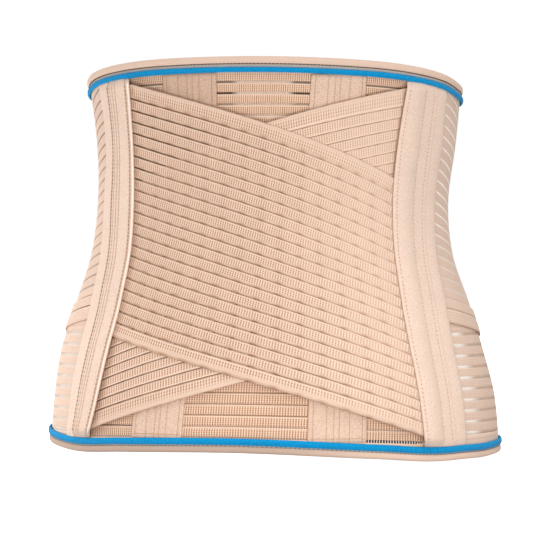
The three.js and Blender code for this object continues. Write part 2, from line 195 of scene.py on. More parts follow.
def smooth_curve(keys, values, flat_ends=False):
    """Cubic curve through (key, value) pairs: each slope is the one between the neighbours on both sides,
    and the end slopes are level or leave no bend at the ends."""
    steps = np.diff(values) / np.diff(keys)
    slopes = np.empty(len(values))
    slopes[1:-1] = (values[2:] - values[:-2]) / (keys[2:] - keys[:-2])
    slopes[0] = 0 if flat_ends else 1.5 * steps[0] - 0.5 * slopes[1]
    slopes[-1] = 0 if flat_ends else 1.5 * steps[-1] - 0.5 * slopes[-2]

    def value_at(at):
        at = np.clip(at, keys[0], keys[-1])
        cell = np.clip(np.searchsorted(keys, at, side="right") - 1, 0, len(keys) - 2)
        width = keys[cell + 1] - keys[cell]
        share = (at - keys[cell]) / width
        rest = 1 - share
        start = (1 + 2 * share) * rest ** 2 * values[cell] + share * rest ** 2 * width * slopes[cell]
        end = (3 - 2 * share) * values[cell + 1] - rest * width * slopes[cell + 1]
        return start + share ** 2 * end

    return value_at


half_width_at = smooth_curve(SECTIONS[:, 0], SECTIONS[:, 1])
back_at = smooth_curve(SECTIONS[:, 0], SECTIONS[:, 2])
front_at = smooth_curve(SECTIONS[:, 0], SECTIONS[:, 3])
sway_at = smooth_curve(SECTIONS[:, 0], SECTIONS[:, 4])
top_curve = smooth_curve(EDGES[:, 0], EDGES[:, 1], flat_ends=True)
bottom_curve = smooth_curve(EDGES[:, 0], EDGES[:, 2], flat_ends=True)


def ease(start, end, at):
    """Smooth step from 0 at start to 1 at end."""
    share = np.clip((at - start) / (end - start), 0, 1)
    return share * share * (3 - 2 * share)


def blend(ends, share):
    """Value at a share of the way between two ends."""
    return ends[0] + (ends[1] - ends[0]) * share


def fold_angle(angle):
    """Angle folded into 0 to 180 degrees, the half that the edge table covers."""
    return np.degrees(np.arccos(np.cos(np.radians(angle))))


def top_edge(angle):
    """Height of the upper edge: the table's curve, tilted by the sine of the angle."""
    return top_curve(fold_angle(angle)) - TOP_TILT * np.sin(np.radians(angle))


def bottom_edge(angle):
    """Height of the lower edge: the table's curve, tilted by the sine of the angle, less the right drop."""
    across = np.sin(np.radians(angle))
    drop = RIGHT_DROP * ease(RIGHT_DROP_START, 1, across)
    return bottom_curve(fold_angle(angle)) - BOTTOM_TILT * across - drop


def upper_cord(angle):
    """Height of the lower side of the upper cord."""
    return top_edge(angle) - TOP_CORD_DEPTH - TOP_CORD_HALF


def lower_cord(angle):
    """Height of the upper side of the lower cord."""
    return bottom_edge(angle) + BOTTOM_CORD_DEPTH + BOTTOM_CORD_HALF


def slope_of(curve, at):
    """Slope of a curve, taken over a short step to both sides."""
    return (curve(at + SLOPE_STEP) - curve(at - SLOPE_STEP)) / (2 * SLOPE_STEP)


def skin(angle, height, lift):
    """Point of the belt: two half ellipses at each height, turned by the lean of the back seams, their flanks
    moved by the sway, then moved by the lift along the surface normal."""
    angle, height, lift = np.broadcast_arrays(*(np.asarray(value, float) for value in (angle, height, lift)))
    lean = LEAN_RATE * (height - LEAN_HEIGHT) * np.maximum(0, np.cos(np.radians(angle)))
    turn = np.radians(angle + lean)
    across, along = np.sin(turn), np.cos(turn)
    width = half_width_at(height)
    depth = np.where(along > 0, back_at(height), front_at(height))
    width_slope = slope_of(half_width_at, height)
    depth_slope = np.where(along > 0, slope_of(back_at, height), slope_of(front_at, height))
    rise = -(width * depth_slope * along ** 2 + depth * width_slope * across ** 2)
    normal = np.stack([depth * across, -width * along, rise], -1)
    normal /= np.linalg.norm(normal, axis=-1, keepdims=True)
    sideways = width * across + sway_at(height) * across ** 2
    return np.stack([sideways, -depth * along, height], -1) + normal * lift[..., None]


def turn_for(length, angle, height):
    """Degrees that a length takes up round the body, near an angle and a height."""
    turn = np.radians(angle)
    depth = np.where(np.cos(turn) > 0, back_at(height), front_at(height))
    return np.degrees(length / np.hypot(half_width_at(height) * np.cos(turn), depth * np.sin(turn)))


def even_angles(start, end, count, height):
    """Angles at equal steps of arc length along the section at a height."""
    fine = np.linspace(start, end, ARC_SAMPLES)
    steps = np.linalg.norm(np.diff(skin(fine, height, 0), axis=0), axis=1)
    travel = np.concatenate([[0], np.cumsum(steps)])
    return np.interp(np.linspace(0, travel[-1], count), travel, fine)


class Cloth:
    """Gathers the closed tubes of one piece and makes them into a mesh object.

    A tube is a grid of points: the first axis counts alike tubes, the second runs along the tube, the third
    round its section, which always closes on itself. A ring also closes along its length, and any other tube
    gets end caps that pair the points of the section's two faces.
    """

    def __init__(self, *materials):
        self.materials = materials
        self.points, self.uvs, self.ticks, self.shades = [], [], [], []
        self.corners, self.finishes = [], []
        self.count = 0

    def add(self, points, uv, tick=0, shade=0, finish=None, ring=False):
        """Adds a grid of tubes: quads between neighbouring points, end caps unless a ring, faces outwards,
        and one of the materials, or else the first."""
        tubes, length, around = points.shape[:3]
        grid = np.arange(tubes * length * around).reshape(tubes, length, around)
        ahead = np.roll(grid, -1, 1) if ring else grid[:, 1:]
        here = grid if ring else grid[:, :-1]
        quads = np.stack([here, np.roll(here, -1, 2), np.roll(ahead, -1, 2), ahead], -1).reshape(-1, 4)
        uv_ahead = np.roll(uv, -1, 1) if ring else uv[:, 1:]
        uv_here = uv if ring else uv[:, :-1]
        if ring:
            uv_ahead = uv_ahead.copy()
            uv_ahead[:, -1, :, 0] += 2 * uv[:, -1, :, 0] - uv[:, -2, :, 0] - uv[:, 0, :, 0]
        uv_corners = [uv_here[:, :, :-1], uv_here[:, :, 1:], uv_ahead[:, :, 1:], uv_ahead[:, :, :-1]]
        corner_uv = np.stack(uv_corners, 3).reshape(-1, 4, 2)
        if not ring:
            near = np.arange(around // 2 - 1)
            far = around - 1 - near
            strip = np.stack([near, far, far - 1, near + 1], -1)
            flat_uv = uv[:, :, :-1].reshape(tubes, length, around, 2)
            for row, order in ((0, strip), (length - 1, strip[:, ::-1])):
                quads = np.concatenate([quads, grid[:, row][:, order].reshape(-1, 4)])
                corner_uv = np.concatenate([corner_uv, flat_uv[:, row][:, order].reshape(-1, 4, 2)])
        flat = points.reshape(-1, 3)
        a, b, c, d = (flat[quads[:, corner]] for corner in range(4))
        volume = np.sum(np.cross(a, b) * c) + np.sum(np.cross(a, c) * d)
        if volume < 0:
            quads = quads[:, ::-1]
            corner_uv = corner_uv[:, ::-1]
        self.points.append(flat)
        self.uvs.append(corner_uv.reshape(-1, 2))
        self.ticks.append(np.broadcast_to(tick, points.shape[:3]).ravel())
        self.shades.append(np.broadcast_to(shade, points.shape[:3]).ravel())
        self.corners.append(quads + self.count)
        self.finishes.append(np.full(len(quads), self.materials.index(finish) if finish else 0))
        self.count += len(flat)

    def make(self, name):
        """Mesh object in metres, with the UV map weave and the marks tick and shade, for its CAD node."""
        corners = np.concatenate(self.corners)
        mesh = bpy.data.meshes.new(name)
        mesh.vertices.add(self.count)
        mesh.vertices.foreach_set("co", (np.concatenate(self.points) * METRE).ravel())
        mesh.loops.add(corners.size)
        mesh.polygons.add(len(corners))
        mesh.polygons.foreach_set("loop_start", np.arange(0, corners.size, 4))
        mesh.polygons.foreach_set("vertices", corners.ravel())
        mesh.polygons.foreach_set("material_index", np.concatenate(self.finishes))
        mesh.polygons.foreach_set("use_smooth", np.ones(len(corners), bool))
        mesh.uv_layers.new(name="weave").uv.foreach_set("vector", np.concatenate(self.uvs).ravel())
        for mark, values in (("tick", self.ticks), ("shade", self.shades)):
            mesh.attributes.new(mark, "FLOAT", "POINT").data.foreach_set("value", np.concatenate(values))
        mesh.update(calc_edges=True)
        for material in self.materials:
            mesh.materials.append(material)
        piece = bpy.data.objects.new(name + "_cloth", mesh)
        bpy.context.scene.collection.objects.link(piece)
        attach(piece, "root")
        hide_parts(name)
        return piece


# Shader node groups

FUZZ_DETAIL = 3
BLOTCH_SCALE = 70
BLOTCH_DETAIL = 2
BEADS_PER_RIB = 5.5
TICK_STRENGTH = 0.9
UNEVEN_SCALE = 0.9
UNEVEN_DETAIL = 2


def new_group(name, inputs, outputs):
    """Empty shader group with value inputs and named outputs; returns the tree and its two end nodes."""
    tree = bpy.data.node_groups.new(name, "ShaderNodeTree")
    for label, default in inputs:
        socket = tree.interface.new_socket(label, in_out="INPUT", socket_type="NodeSocketFloat")
        socket.default_value = default
    for label in outputs:
        tree.interface.new_socket(label, in_out="OUTPUT", socket_type="NodeSocketFloat")
    return tree, tree.nodes.new("NodeGroupInput"), tree.nodes.new("NodeGroupOutput")


def feed(tree, value, socket):
    """Gives a socket its value: a number, a colour, or a link from another socket."""
    if isinstance(value, (int, float)):
        socket.default_value = value
    elif isinstance(value, tuple):
        socket.default_value = (*value, 1)
    else:
        tree.links.new(value, socket)


def math_node(tree, operation, first, second=None):
    """Math node on two values, each a socket or a number; returns its output."""
    node = tree.nodes.new("ShaderNodeMath")
    node.operation = operation
    for place, value in enumerate((first, second)):
        if value is not None:
            feed(tree, value, node.inputs[place])
    return node.outputs[0]


def swung(tree, value, amount):
    """Value from 0 to 1 made to swing round zero: less a half, times an amount."""
    return math_node(tree, "MULTIPLY", math_node(tree, "SUBTRACT", value, 0.5), amount)


def noise_node(tree, vector, scale, detail):
    """Noise at a place, its scale a socket or a number; returns its value."""
    node = tree.nodes.new("ShaderNodeTexNoise")
    node.inputs["Detail"].default_value = detail
    tree.links.new(vector, node.inputs["Vector"])
    feed(tree, scale, node.inputs["Scale"])
    return node.outputs["Fac"]


def weave_place(tree):
    """UV map weave and its two coordinates."""
    weave = tree.nodes.new("ShaderNodeUVMap")
    weave.uv_map = "weave"
    split = tree.nodes.new("ShaderNodeSeparateXYZ")
    tree.links.new(weave.outputs["UV"], split.inputs[0])
    return weave.outputs["UV"], split.outputs["X"], split.outputs["Y"]


def fibre_grain_group():
    """Fuzz and blotches of cloth: Shade is 1 give or take the contrast, Height is the fine fuzz."""
    tree, given, result = new_group(
        "fibre_grain", (("Fuzz Scale", 1500), ("Fuzz", 0.2), ("Blotch", 0.08)), ("Shade", "Height"))
    place = tree.nodes.new("ShaderNodeTexCoord").outputs["Object"]
    fuzz = noise_node(tree, place, given.outputs["Fuzz Scale"], FUZZ_DETAIL)
    blotch = noise_node(tree, place, BLOTCH_SCALE, BLOTCH_DETAIL)
    fuzz_part = swung(tree, fuzz, given.outputs["Fuzz"])
    blotch_part = swung(tree, blotch, given.outputs["Blotch"])
    shade = math_node(tree, "ADD", math_node(tree, "ADD", fuzz_part, blotch_part), 1)
    tree.links.new(shade, result.inputs["Shade"])
    tree.links.new(fuzz, result.inputs["Height"])
    return tree


def cross_ticks_group():
    """Fine ticks across a rib: Valley is 1 between two ridges, one ridge for each whole number of the UV
    map's first coordinate, where the mark tick allows it, with uneven strength and broken into beads along
    the second coordinate."""
    tree, given, result = new_group("cross_ticks", (("Unevenness", 0.5), ("Bead", 0.35)), ("Valley",))
    place, along, across = weave_place(tree)
    mark = tree.nodes.new("ShaderNodeAttribute")
    mark.attribute_name = "tick"
    wave = math_node(tree, "COSINE", math_node(tree, "MULTIPLY", along, 2 * math.pi))
    valley = math_node(tree, "SUBTRACT", 0.5, math_node(tree, "MULTIPLY", wave, 0.5))
    uneven = noise_node(tree, place, UNEVEN_SCALE, UNEVEN_DETAIL)
    swing = swung(tree, uneven, given.outputs["Unevenness"])
    marked = math_node(tree, "MULTIPLY", valley, mark.outputs["Fac"])
    beads = math_node(tree, "COSINE", math_node(tree, "MULTIPLY", across, 2 * math.pi * BEADS_PER_RIB))
    beaded = math_node(tree, "MULTIPLY", beads, given.outputs["Bead"])
    strength = math_node(tree, "ADD", math_node(tree, "ADD", swing, beaded), TICK_STRENGTH)
    tree.links.new(math_node(tree, "MULTIPLY", marked, strength), result.inputs["Valley"])
    return tree


def plain_weave_group():
    """Over and under of a fine weave on the UV map, which is in millimetres: Height rises and falls along
    both directions, Threads to the millimetre."""
    tree, given, result = new_group("plain_weave", (("Threads", 1.6),), ("Height",))
    _, along, across = weave_place(tree)
    rate = math_node(tree, "MULTIPLY", given.outputs["Threads"], 2 * math.pi)
    warp = math_node(tree, "SINE", math_node(tree, "MULTIPLY", along, rate))
    weft = math_node(tree, "SINE", math_node(tree, "MULTIPLY", across, rate))
    height = math_node(tree, "MULTIPLY", math_node(tree, "MULTIPLY", warp, weft), 0.5)
    tree.links.new(math_node(tree, "ADD", height, 0.5), result.inputs["Height"])
    return tree


GRAIN = fibre_grain_group()
TICKS = cross_ticks_group()
WEAVE = plain_weave_group()


# Materials

BUMP_DEPTH = 0.0003
RIB_BUMP = 0.3


def placed_group(tree, group, **values):
    """Shader group placed in a material, with values for its inputs."""
    node = tree.nodes.new("ShaderNodeGroup")
    node.node_tree = group
    for label, value in values.items():
        node.inputs[label.replace("_", " ")].default_value = value
    return node


def mixed(tree, share, first, second, blend="MIX"):
    """Colour mix of two colours, each a socket or a colour, by a share; returns its output."""
    node = tree.nodes.new("ShaderNodeMix")
    node.data_type = "RGBA"
    node.blend_type = blend
    for socket, value in ((node.inputs[0], share), (node.inputs[6], first), (node.inputs[7], second)):
        feed(tree, value, socket)
    return node.outputs[2]


def cloth_material(name, roughness=0.92, sheen=0.08):
    """Principled cloth with plain roughness and sheen; returns the material, its tree and the shader."""
    material = bpy.data.materials.new(name)
    material.use_nodes = True
    tree = material.node_tree
    shader = tree.nodes["Principled BSDF"]
    shader.inputs["Roughness"].default_value = roughness
    shader.inputs["Specular IOR Level"].default_value = 0.15
    shader.inputs["Sheen Weight"].default_value = sheen
    shader.inputs["Sheen Roughness"].default_value = 0.5
    return material, tree, shader


def add_bump(tree, shader, height, strength):
    """Relief of a height, by a bump on the shader's normal."""
    bump = tree.nodes.new("ShaderNodeBump")
    bump.inputs["Strength"].default_value = strength
    bump.inputs["Distance"].default_value = BUMP_DEPTH
    tree.links.new(height, bump.inputs["Height"])
    tree.links.new(bump.outputs["Normal"], shader.inputs["Normal"])


def shaded_by_mark(tree, colour, shadow):
    """Colour drawn towards a shadow colour by the mark shade."""
    mark = tree.nodes.new("ShaderNodeAttribute")
    mark.attribute_name = "shade"
    return mixed(tree, mark.outputs["Fac"], colour, shadow)


def ribbed_elastic(name, ridge, valley, groove, contrast):
    """Elastic with pale ridges, painted shade between ticks, brown painted shade in grooves, and a fine fuzz.
    """
    material, tree, shader = cloth_material(name)
    ticks = placed_group(tree, TICKS)
    grain = placed_group(tree, GRAIN, Fuzz_Scale=1300, Fuzz=0.25, Blotch=0.1)
    share = math_node(tree, "MULTIPLY", ticks.outputs["Valley"], contrast)
    colour = shaded_by_mark(tree, mixed(tree, share, ridge, valley), groove)
    tree.links.new(mixed(tree, 1.0, colour, grain.outputs["Shade"], "MULTIPLY"), shader.inputs["Base Color"])
    add_bump(tree, shader, grain.outputs["Height"], RIB_BUMP)
    return material


def plain_cloth(name, colour, shadow, threads, fuzz, relief):
    """Woven or brushed cloth with fuzz, blotches, painted shade at seams and the relief of its weave."""
    material, tree, shader = cloth_material(name)
    grain = placed_group(tree, GRAIN, Fuzz_Scale=1150, Fuzz=fuzz, Blotch=0.08)
    weave = placed_group(tree, WEAVE, Threads=threads)
    tinted = shaded_by_mark(tree, colour, shadow)
    tree.links.new(mixed(tree, 1.0, tinted, grain.outputs["Shade"], "MULTIPLY"), shader.inputs["Base Color"])
    height = math_node(tree, "ADD", grain.outputs["Height"], weave.outputs["Height"])
    add_bump(tree, shader, height, relief)
    return material


# Colours, as linear shares of red, green and blue.
BEIGE = (0.865, 0.64, 0.505)
WARM_BEIGE = (0.88, 0.645, 0.49)
PALE_BEIGE = (0.83, 0.63, 0.51)
CASING_BEIGE = (0.75, 0.535, 0.41)
TAN = (0.77, 0.56, 0.44)
# Painted shade of the bindings.
PAINTED_SHADE_TAN = (0.45, 0.325, 0.255)
# Painted shade between the ticks of the ribs.
VALLEY_SHADE_BROWN = (0.40, 0.20, 0.11)
VALLEY_SHADE_ORANGE = (0.38, 0.15, 0.05)
# Painted shade that grooves, rib edges, band ends and pale strands are drawn towards.
GROOVE_SHADE_BROWN = (0.37, 0.19, 0.095)
# Painted shade at seams, pleats and edges of tapes, casings and the front.
SEAM_SHADE_BROWN = (0.42, 0.235, 0.14)
# Painted shadow: the near black of strands where a slit shows only shade.
SLIT_SHADOW_BROWN = (0.10, 0.06, 0.04)
THREAD_ORANGE = (0.46, 0.235, 0.115)
# Dark thread, its darkness partly a painted shadow of needle holes and of the gap past a binding's leg.
THREAD_AND_SHADOW_BROWN = (0.15, 0.085, 0.05)
THREAD_GREY = (0.45, 0.52, 0.56)
FLANGE_GREY = (0.52, 0.45, 0.40)
STRAND_BEIGE = (0.78, 0.60, 0.47)
STRAND_CREAM = (0.95, 0.88, 0.81)
# Cream of the left tape's rim, partly a painted highlight on its edge.
RIM_CREAM_AND_HIGHLIGHT = (0.96, 0.82, 0.71)
BLUE = (0.001, 0.29, 0.62)
DEEP_BLUE = (0.003, 0.14, 0.36)

BAND_FINISH = ribbed_elastic("band_elastic", BEIGE, VALLEY_SHADE_BROWN, GROOVE_SHADE_BROWN, contrast=0.95)
PANEL_FINISH = ribbed_elastic("panel_elastic", WARM_BEIGE, VALLEY_SHADE_ORANGE, GROOVE_SHADE_BROWN, contrast=0.95)
SIDE_FINISH = ribbed_elastic("side_elastic", PALE_BEIGE, VALLEY_SHADE_BROWN, GROOVE_SHADE_BROWN, contrast=0.4)
TAPE_FINISH = plain_cloth("brushed_tape", PALE_BEIGE, SEAM_SHADE_BROWN, threads=1.3, fuzz=0.6, relief=0.3)
CASING_FINISH = plain_cloth("casing_cloth", CASING_BEIGE, SEAM_SHADE_BROWN, threads=1.3, fuzz=0.9, relief=0.3)
FRONT_FINISH = plain_cloth("front_knit", PALE_BEIGE, SEAM_SHADE_BROWN, threads=0.9, fuzz=0.2, relief=0.3)
BINDING_FINISH = plain_cloth("binding_cloth", TAN, PAINTED_SHADE_TAN, threads=2.0, fuzz=0.15, relief=0.2)
PIPING_FINISH = plain_cloth("blue_cord", BLUE, DEEP_BLUE, threads=1.1, fuzz=1.2, relief=0.5)
FLANGE_FINISH = plain_cloth("piping_flange", FLANGE_GREY, SEAM_SHADE_BROWN, threads=2.0, fuzz=0.2, relief=0.2)
STRAND_FINISH = plain_cloth("bare_strand", STRAND_BEIGE, SLIT_SHADOW_BROWN, threads=2.0, fuzz=0.2, relief=0.1)
PALE_STRAND_FINISH = plain_cloth("pale_strand", STRAND_CREAM, GROOVE_SHADE_BROWN, threads=2.0, fuzz=0.2, relief=0.1)
RIM_FINISH = plain_cloth("tape_rim", RIM_CREAM_AND_HIGHLIGHT, SEAM_SHADE_BROWN, threads=2.0, fuzz=0.15, relief=0.1)
STITCH_FINISH = plain_cloth("brown_thread", THREAD_AND_SHADOW_BROWN, SEAM_SHADE_BROWN, threads=2.0, fuzz=0.2, relief=0.2)
ORANGE_FINISH = plain_cloth("orange_thread", THREAD_ORANGE, SEAM_SHADE_BROWN, threads=2.0, fuzz=0.2, relief=0.2)
ZIGZAG_FINISH = plain_cloth("grey_thread", THREAD_GREY, SEAM_SHADE_BROWN, threads=2.0, fuzz=0.2, relief=0.2)


# Ribs, strands and stitches

# Sections of ribs, from the lower edge up over the face and back along the inner side: place between the
# edges, share of the thickness, tick strength and painted shade, darkest at the rib edges by the grooves.
FALLING_RIB = np.array([
    (-1.00, 0.45, 0.0, 1.00),
    (-0.90, 0.84, 0.0, 0.80),
    (-0.66, 0.96, 0.0, 0.55),
    (-0.44, 1.00, 1.0, 0.05),
    (0.10, 1.02, 1.0, 0.00),
    (0.62, 1.00, 1.0, 0.00),
    (0.78, 0.96, 0.0, 0.12),
    (1.00, 0.50, 0.0, 0.50),
    (0.95, 0.00, 0.0, 0.30),
    (-0.95, 0.00, 0.0, 0.30),
])
RISING_RIB = np.array([
    (-1.00, 0.50, 0.0, 0.80),
    (-0.90, 0.86, 0.0, 0.15),
    (-0.74, 0.98, 0.0, 0.00),
    (-0.58, 1.00, 1.0, 0.00),
    (0.10, 1.02, 1.0, 0.00),
    (0.62, 1.00, 1.0, 0.00),
    (0.86, 0.90, 0.5, 0.20),
    (1.00, 0.50, 0.0, 1.00),
    (0.95, 0.00, 0.0, 0.30),
    (-0.95, 0.00, 0.0, 0.30),
])
PANEL_RIB = np.array([
    (-1.00, 0.50, 0.3, 0.80),
    (-0.90, 0.86, 0.9, 0.10),
    (-0.60, 0.98, 1.0, 0.00),
    (0.00, 1.02, 1.0, 0.00),
    (0.55, 1.00, 1.0, 0.00),
    (0.70, 0.97, 0.5, 0.00),
    (0.88, 0.88, 0.0, 0.00),
    (1.00, 0.50, 0.0, 0.50),
    (0.95, 0.00, 0.0, 0.30),
    (-0.95, 0.00, 0.0, 0.30),
])
TICK_DEPTH = 0.27
TICK_LEAN = 0.5
TICK_COLUMNS = 2
UPRIGHT_TICKS = 3
RIB_UV_HALF = 0.45


def add_ribs(cloth, section, angles, lower, upper, lift, thickness, ticks, tick_mask=1, shading=(1, 0)):
    """Ribs as closed tubes. A rib runs between its lower and upper edge heights, given for each angle. Its
    outer face sinks by the tick depth between ridges, a cosine along the rib, and the ticks lean with the
    slope of the rib, but stand upright at its ends. The shading is a share of the section's shade and a least
    shade."""
    place, rise, tick, shade = section.T
    middle = ((upper + lower) / 2)[:, :, None]
    offset = ((upper - lower) / 2)[:, :, None] * place
    along = np.linspace(0, ticks, len(angles))
    step = np.gradient(angles) / turn_for(1, angles, middle[:, :, 0])
    slope = np.gradient(middle[:, :, 0], axis=1) / step
    leaning = TICK_LEAN * slope * ease(0, UPRIGHT_TICKS, np.minimum(along, ticks - along))
    lean = turn_for(leaning[:, :, None] * -offset, angles[:, None], middle)
    marks = np.broadcast_to(tick * tick_mask, offset.shape)
    sink = TICK_DEPTH * (0.5 - 0.5 * np.cos(2 * np.pi * along))[:, None] * marks
    lifts = np.broadcast_to(lift, middle.shape[:2])[:, :, None] + thickness * rise - sink
    points = skin(angles[None, :, None] + lean, middle + offset, lifts)
    around = np.append(np.arange(len(place)), 0)
    u = np.broadcast_to(along[None, :, None], points.shape[:2] + (len(around),))
    v = np.broadcast_to(np.arange(len(lower))[:, None, None] + 0.5 + RIB_UV_HALF * place[around], u.shape)
    shades = np.maximum(np.broadcast_to(shade * shading[0], offset.shape), shading[1])
    cloth.add(points, np.stack([u, v], -1), marks, shades)


ROD = np.array([(-1, 0), (0, 1), (1, 0), (0, -1)])
STRAND_HALF_DEPTH = 0.4


def add_strands(cloth, angles, height, span, lift, width, shade, finish):
    """Bare strands across a slit: flat four-sided rods of a width, from below the slit to above it."""
    side = turn_for(np.broadcast_to(width / 2, angles.shape), angles, height)
    turn = angles[:, None, None] + side[:, None, None] * ROD[:, 0]
    level = height[:, None, None] + span * np.array([-0.5, 0.5])[:, None]
    points = skin(turn, level, lift + STRAND_HALF_DEPTH * ROD[:, 1])
    shade = np.broadcast_to(shade, angles.shape)[:, None, None]
    cloth.add(points, np.zeros(points.shape[:2] + (len(ROD) + 1, 2)), shade=shade, finish=finish)


def add_stitches(cloth, angle, height, run, rise, lift, width, finish):
    """Stitches as pinched four-sided rods: each runs from its place by run across and rise up, is widest in
    the middle and dips into the cloth at both ends."""
    share = np.array([0.0, 0.2, 0.8, 1.0])
    swell = np.array([0.25, 1.0, 1.0, 0.25])
    dip = np.array([-0.6, 0.35, 0.35, -0.6]) * width
    length = np.hypot(run, rise)
    spread = width / 2 * swell[:, None]
    across = run * share[:, None] + rise / length * spread * ROD[:, 0]
    up = rise * share[:, None] - run / length * spread * ROD[:, 0]
    level = height[:, None, None] + up
    turn = angle[:, None, None] + turn_for(across, angle[:, None, None], level)
    base = np.broadcast_to(lift, angle.shape)[:, None, None]
    points = skin(turn, level, base + dip[:, None] + spread * ROD[:, 1])
    cloth.add(points, np.zeros(points.shape[:2] + (len(ROD) + 1, 2)), finish=finish)


# Seam tape edges: height, angle of the inner edge and angle of the outer edge, without their sign.
LEFT_TAPE = np.array([
    (-182, 44.6, 57.4),
    (-148, 41.7, 56.5),
    (-98, 40.4, 56.4),
    (-53, 41.6, 60.6),
    (-6, 43.0, 64.0),
    (38, 43.3, 61.6),
    (85, 43.4, 62.8),
])
RIGHT_TAPE = np.array([
    (-180, 45.8, 61.8),
    (-130, 44.0, 61.2),
    (-88, 43.2, 62.8),
    (-46, 44.2, 66.4),
    (-6, 44.3, 68.2),
    (38, 44.2, 68.4),
    (85, 46.4, 68.4),
])


def tape_edges(path):
    """Curves of a tape's inner and outer edge: the angle at a height."""
    return smooth_curve(path[:, 0], path[:, 1]), smooth_curve(path[:, 0], path[:, 2])


left_inner, left_outer = tape_edges(LEFT_TAPE)
right_inner, right_outer = tape_edges(RIGHT_TAPE)


# Base panel, side panels and side bands

# Bare strands in the slits: how far their span passes the slit's width, how far in degrees they run past
# its ends and in millimetres behind the side band's edge, then their lifts, widths and numbers.
STRAND_MARGIN = 1.2
STRAND_REACH = 0.8
STRAND_COVER = 1
PANEL_STRAND_LIFT = 0.75
SIDE_STRAND_LIFT = 1.05
PANEL_STRAND_WIDTHS = (1.5, 1.7)
SIDE_BAND_STRAND_WIDTH = 1.1
SIDE_PANEL_STRAND_WIDTH = 1.15
SIDE_BAND_STRANDS = 92
SIDE_PANEL_STRANDS = 98

# Strands of the base panel: the angles between which the upper ones go from pale to the painted shade that
# they have at the ends of the slit, those shades from the top row down, and the painted shade of the lower
# ones.
STRAND_CHANGE = (7, 10)
UPPER_END_SHADES = (0.75, 1.0, 0.45, 0.35, 0.35)
LOW_STRAND_SHADE = 0.9


def wall_top(angle):
    """Height at which a wall ends inside the upper binding."""
    return top_edge(angle) - EDGE_CLEARANCE


def wall_bottom(angle):
    """Height at which a wall ends inside the lower binding."""
    return bottom_edge(angle) + EDGE_CLEARANCE


def opened(angles, reach, gap):
    """Width of a slit along its length: the gap inside its reach, closing at both ends."""
    return np.maximum(gap * ease(-SLIT_TAPER, 0, reach - np.abs(angles)), CLOSED_SLIT)


def rib_edges(lines, openings, bottom, top):
    """Lower and upper edges of the ribs between slit lines, listed upwards, each slit open by its width."""
    lower = np.concatenate([bottom[None], lines + openings / 2])
    upper = np.concatenate([lines - openings / 2, top[None]])
    return lower, upper


def panel_line(angle, height):
    """Height of a base panel row: level, but near an edge it follows part of that edge's rise and fall."""
    low_share = LOW_FOLLOW * ease(*LOW_FOLLOW_HEIGHTS, height)
    high_share = HIGH_FOLLOW * ease(*HIGH_FOLLOW_HEIGHTS, height)
    low_follow = low_share * (bottom_edge(angle) - bottom_edge(0))
    return height + low_follow + high_share * (top_edge(angle) - top_edge(0))


def back_panel():
    """Base panel: horizontal ribs, slit open only in the windows that the layers above leave. Bare strands
    cross the slits, in the upper window pale in the middle with painted shade towards the ends, in the
    lower one with brown painted shade, but with near black painted shadow in two corners."""
    cloth = Cloth(PANEL_FINISH, STRAND_FINISH, PALE_STRAND_FINISH)
    order = np.arange(ROWS)
    rows = LOWEST_ROW + ROW_PITCH * order
    in_window = (order < WINDOW_ROWS) | (order >= ROWS - WINDOW_ROWS)
    reach = np.where(np.isin(order, WIDE_ROWS), WIDE_SLIT_END, CENTRE_SLIT_END)
    gap = np.where(order < WINDOW_ROWS, LOW_PANEL_SLIT, np.where(in_window, PANEL_SLIT, CLOSED_SLIT))
    beside = np.append(in_window, True) | np.insert(in_window, 0, True)
    for chosen, columns in ((beside, TICK_COLUMNS * PANEL_TICKS + 1), (~beside, HIDDEN_COLUMNS)):
        angles = even_angles(-SIDE_SEAM, SIDE_SEAM, columns, BACK_ARC)
        openings = opened(angles, reach[:, None], gap[:, None])
        low_corner = ease(CORNER_START, CORNER_START + SLIT_TAPER, angles)
        low_corner *= ease(WIDE_SLIT_END, WIDE_SLIT_END - CORNER_TAPER, angles)
        openings[0] += CORNER_SLIT * low_corner
        high_corner = ease(CASING_ANGLE, CASING_ANGLE + SLIT_TAPER, np.abs(angles))
        openings[-2:] *= 1 - HIGH_CORNER_CLOSING * high_corner
        top = panel_line(angles, rows[-1] + ROW_PITCH)
        lower, upper = rib_edges(panel_line(angles, rows[:, None]), openings, wall_bottom(angles), top)
        add_ribs(cloth, PANEL_RIB, angles, lower[chosen], upper[chosen], 0, RIB_THICKNESS, PANEL_TICKS)
    top_rib = (top[None] + CLOSED_SLIT, wall_top(angles)[None])
    add_ribs(cloth, PANEL_RIB, angles, *top_rib, 0, WALL, PANEL_TICKS, tick_mask=0)
    span = PANEL_SLIT + STRAND_MARGIN
    for row in order[in_window]:
        end = reach[row] + STRAND_REACH
        angles = even_angles(-end, end, int(PANEL_TICKS * end / SIDE_SEAM), BACK_ARC)
        heights = panel_line(angles, rows[row])
        if row > WINDOW_ROWS:
            outer = ease(*STRAND_CHANGE, np.abs(angles))
            width = blend(PANEL_STRAND_WIDTHS, outer)
            shade = UPPER_END_SHADES[ROWS - 1 - row] * outer
            add_strands(cloth, angles, heights, span, PANEL_STRAND_LIFT, width, shade, STRAND_FINISH)
            continue
        width = PANEL_STRAND_WIDTHS[1]
        dark = angles > CASING_ANGLE if row == 0 else angles < -CASING_ANGLE
        kinds = ((dark, 1, STRAND_FINISH), (~dark, LOW_STRAND_SHADE, PALE_STRAND_FINISH))
        for chosen, shade, finish in kinds:
            places = (angles[chosen], heights[chosen])
            add_strands(cloth, *places, span, PANEL_STRAND_LIFT, width, shade, finish)
    piece = cloth.make("back_panel")


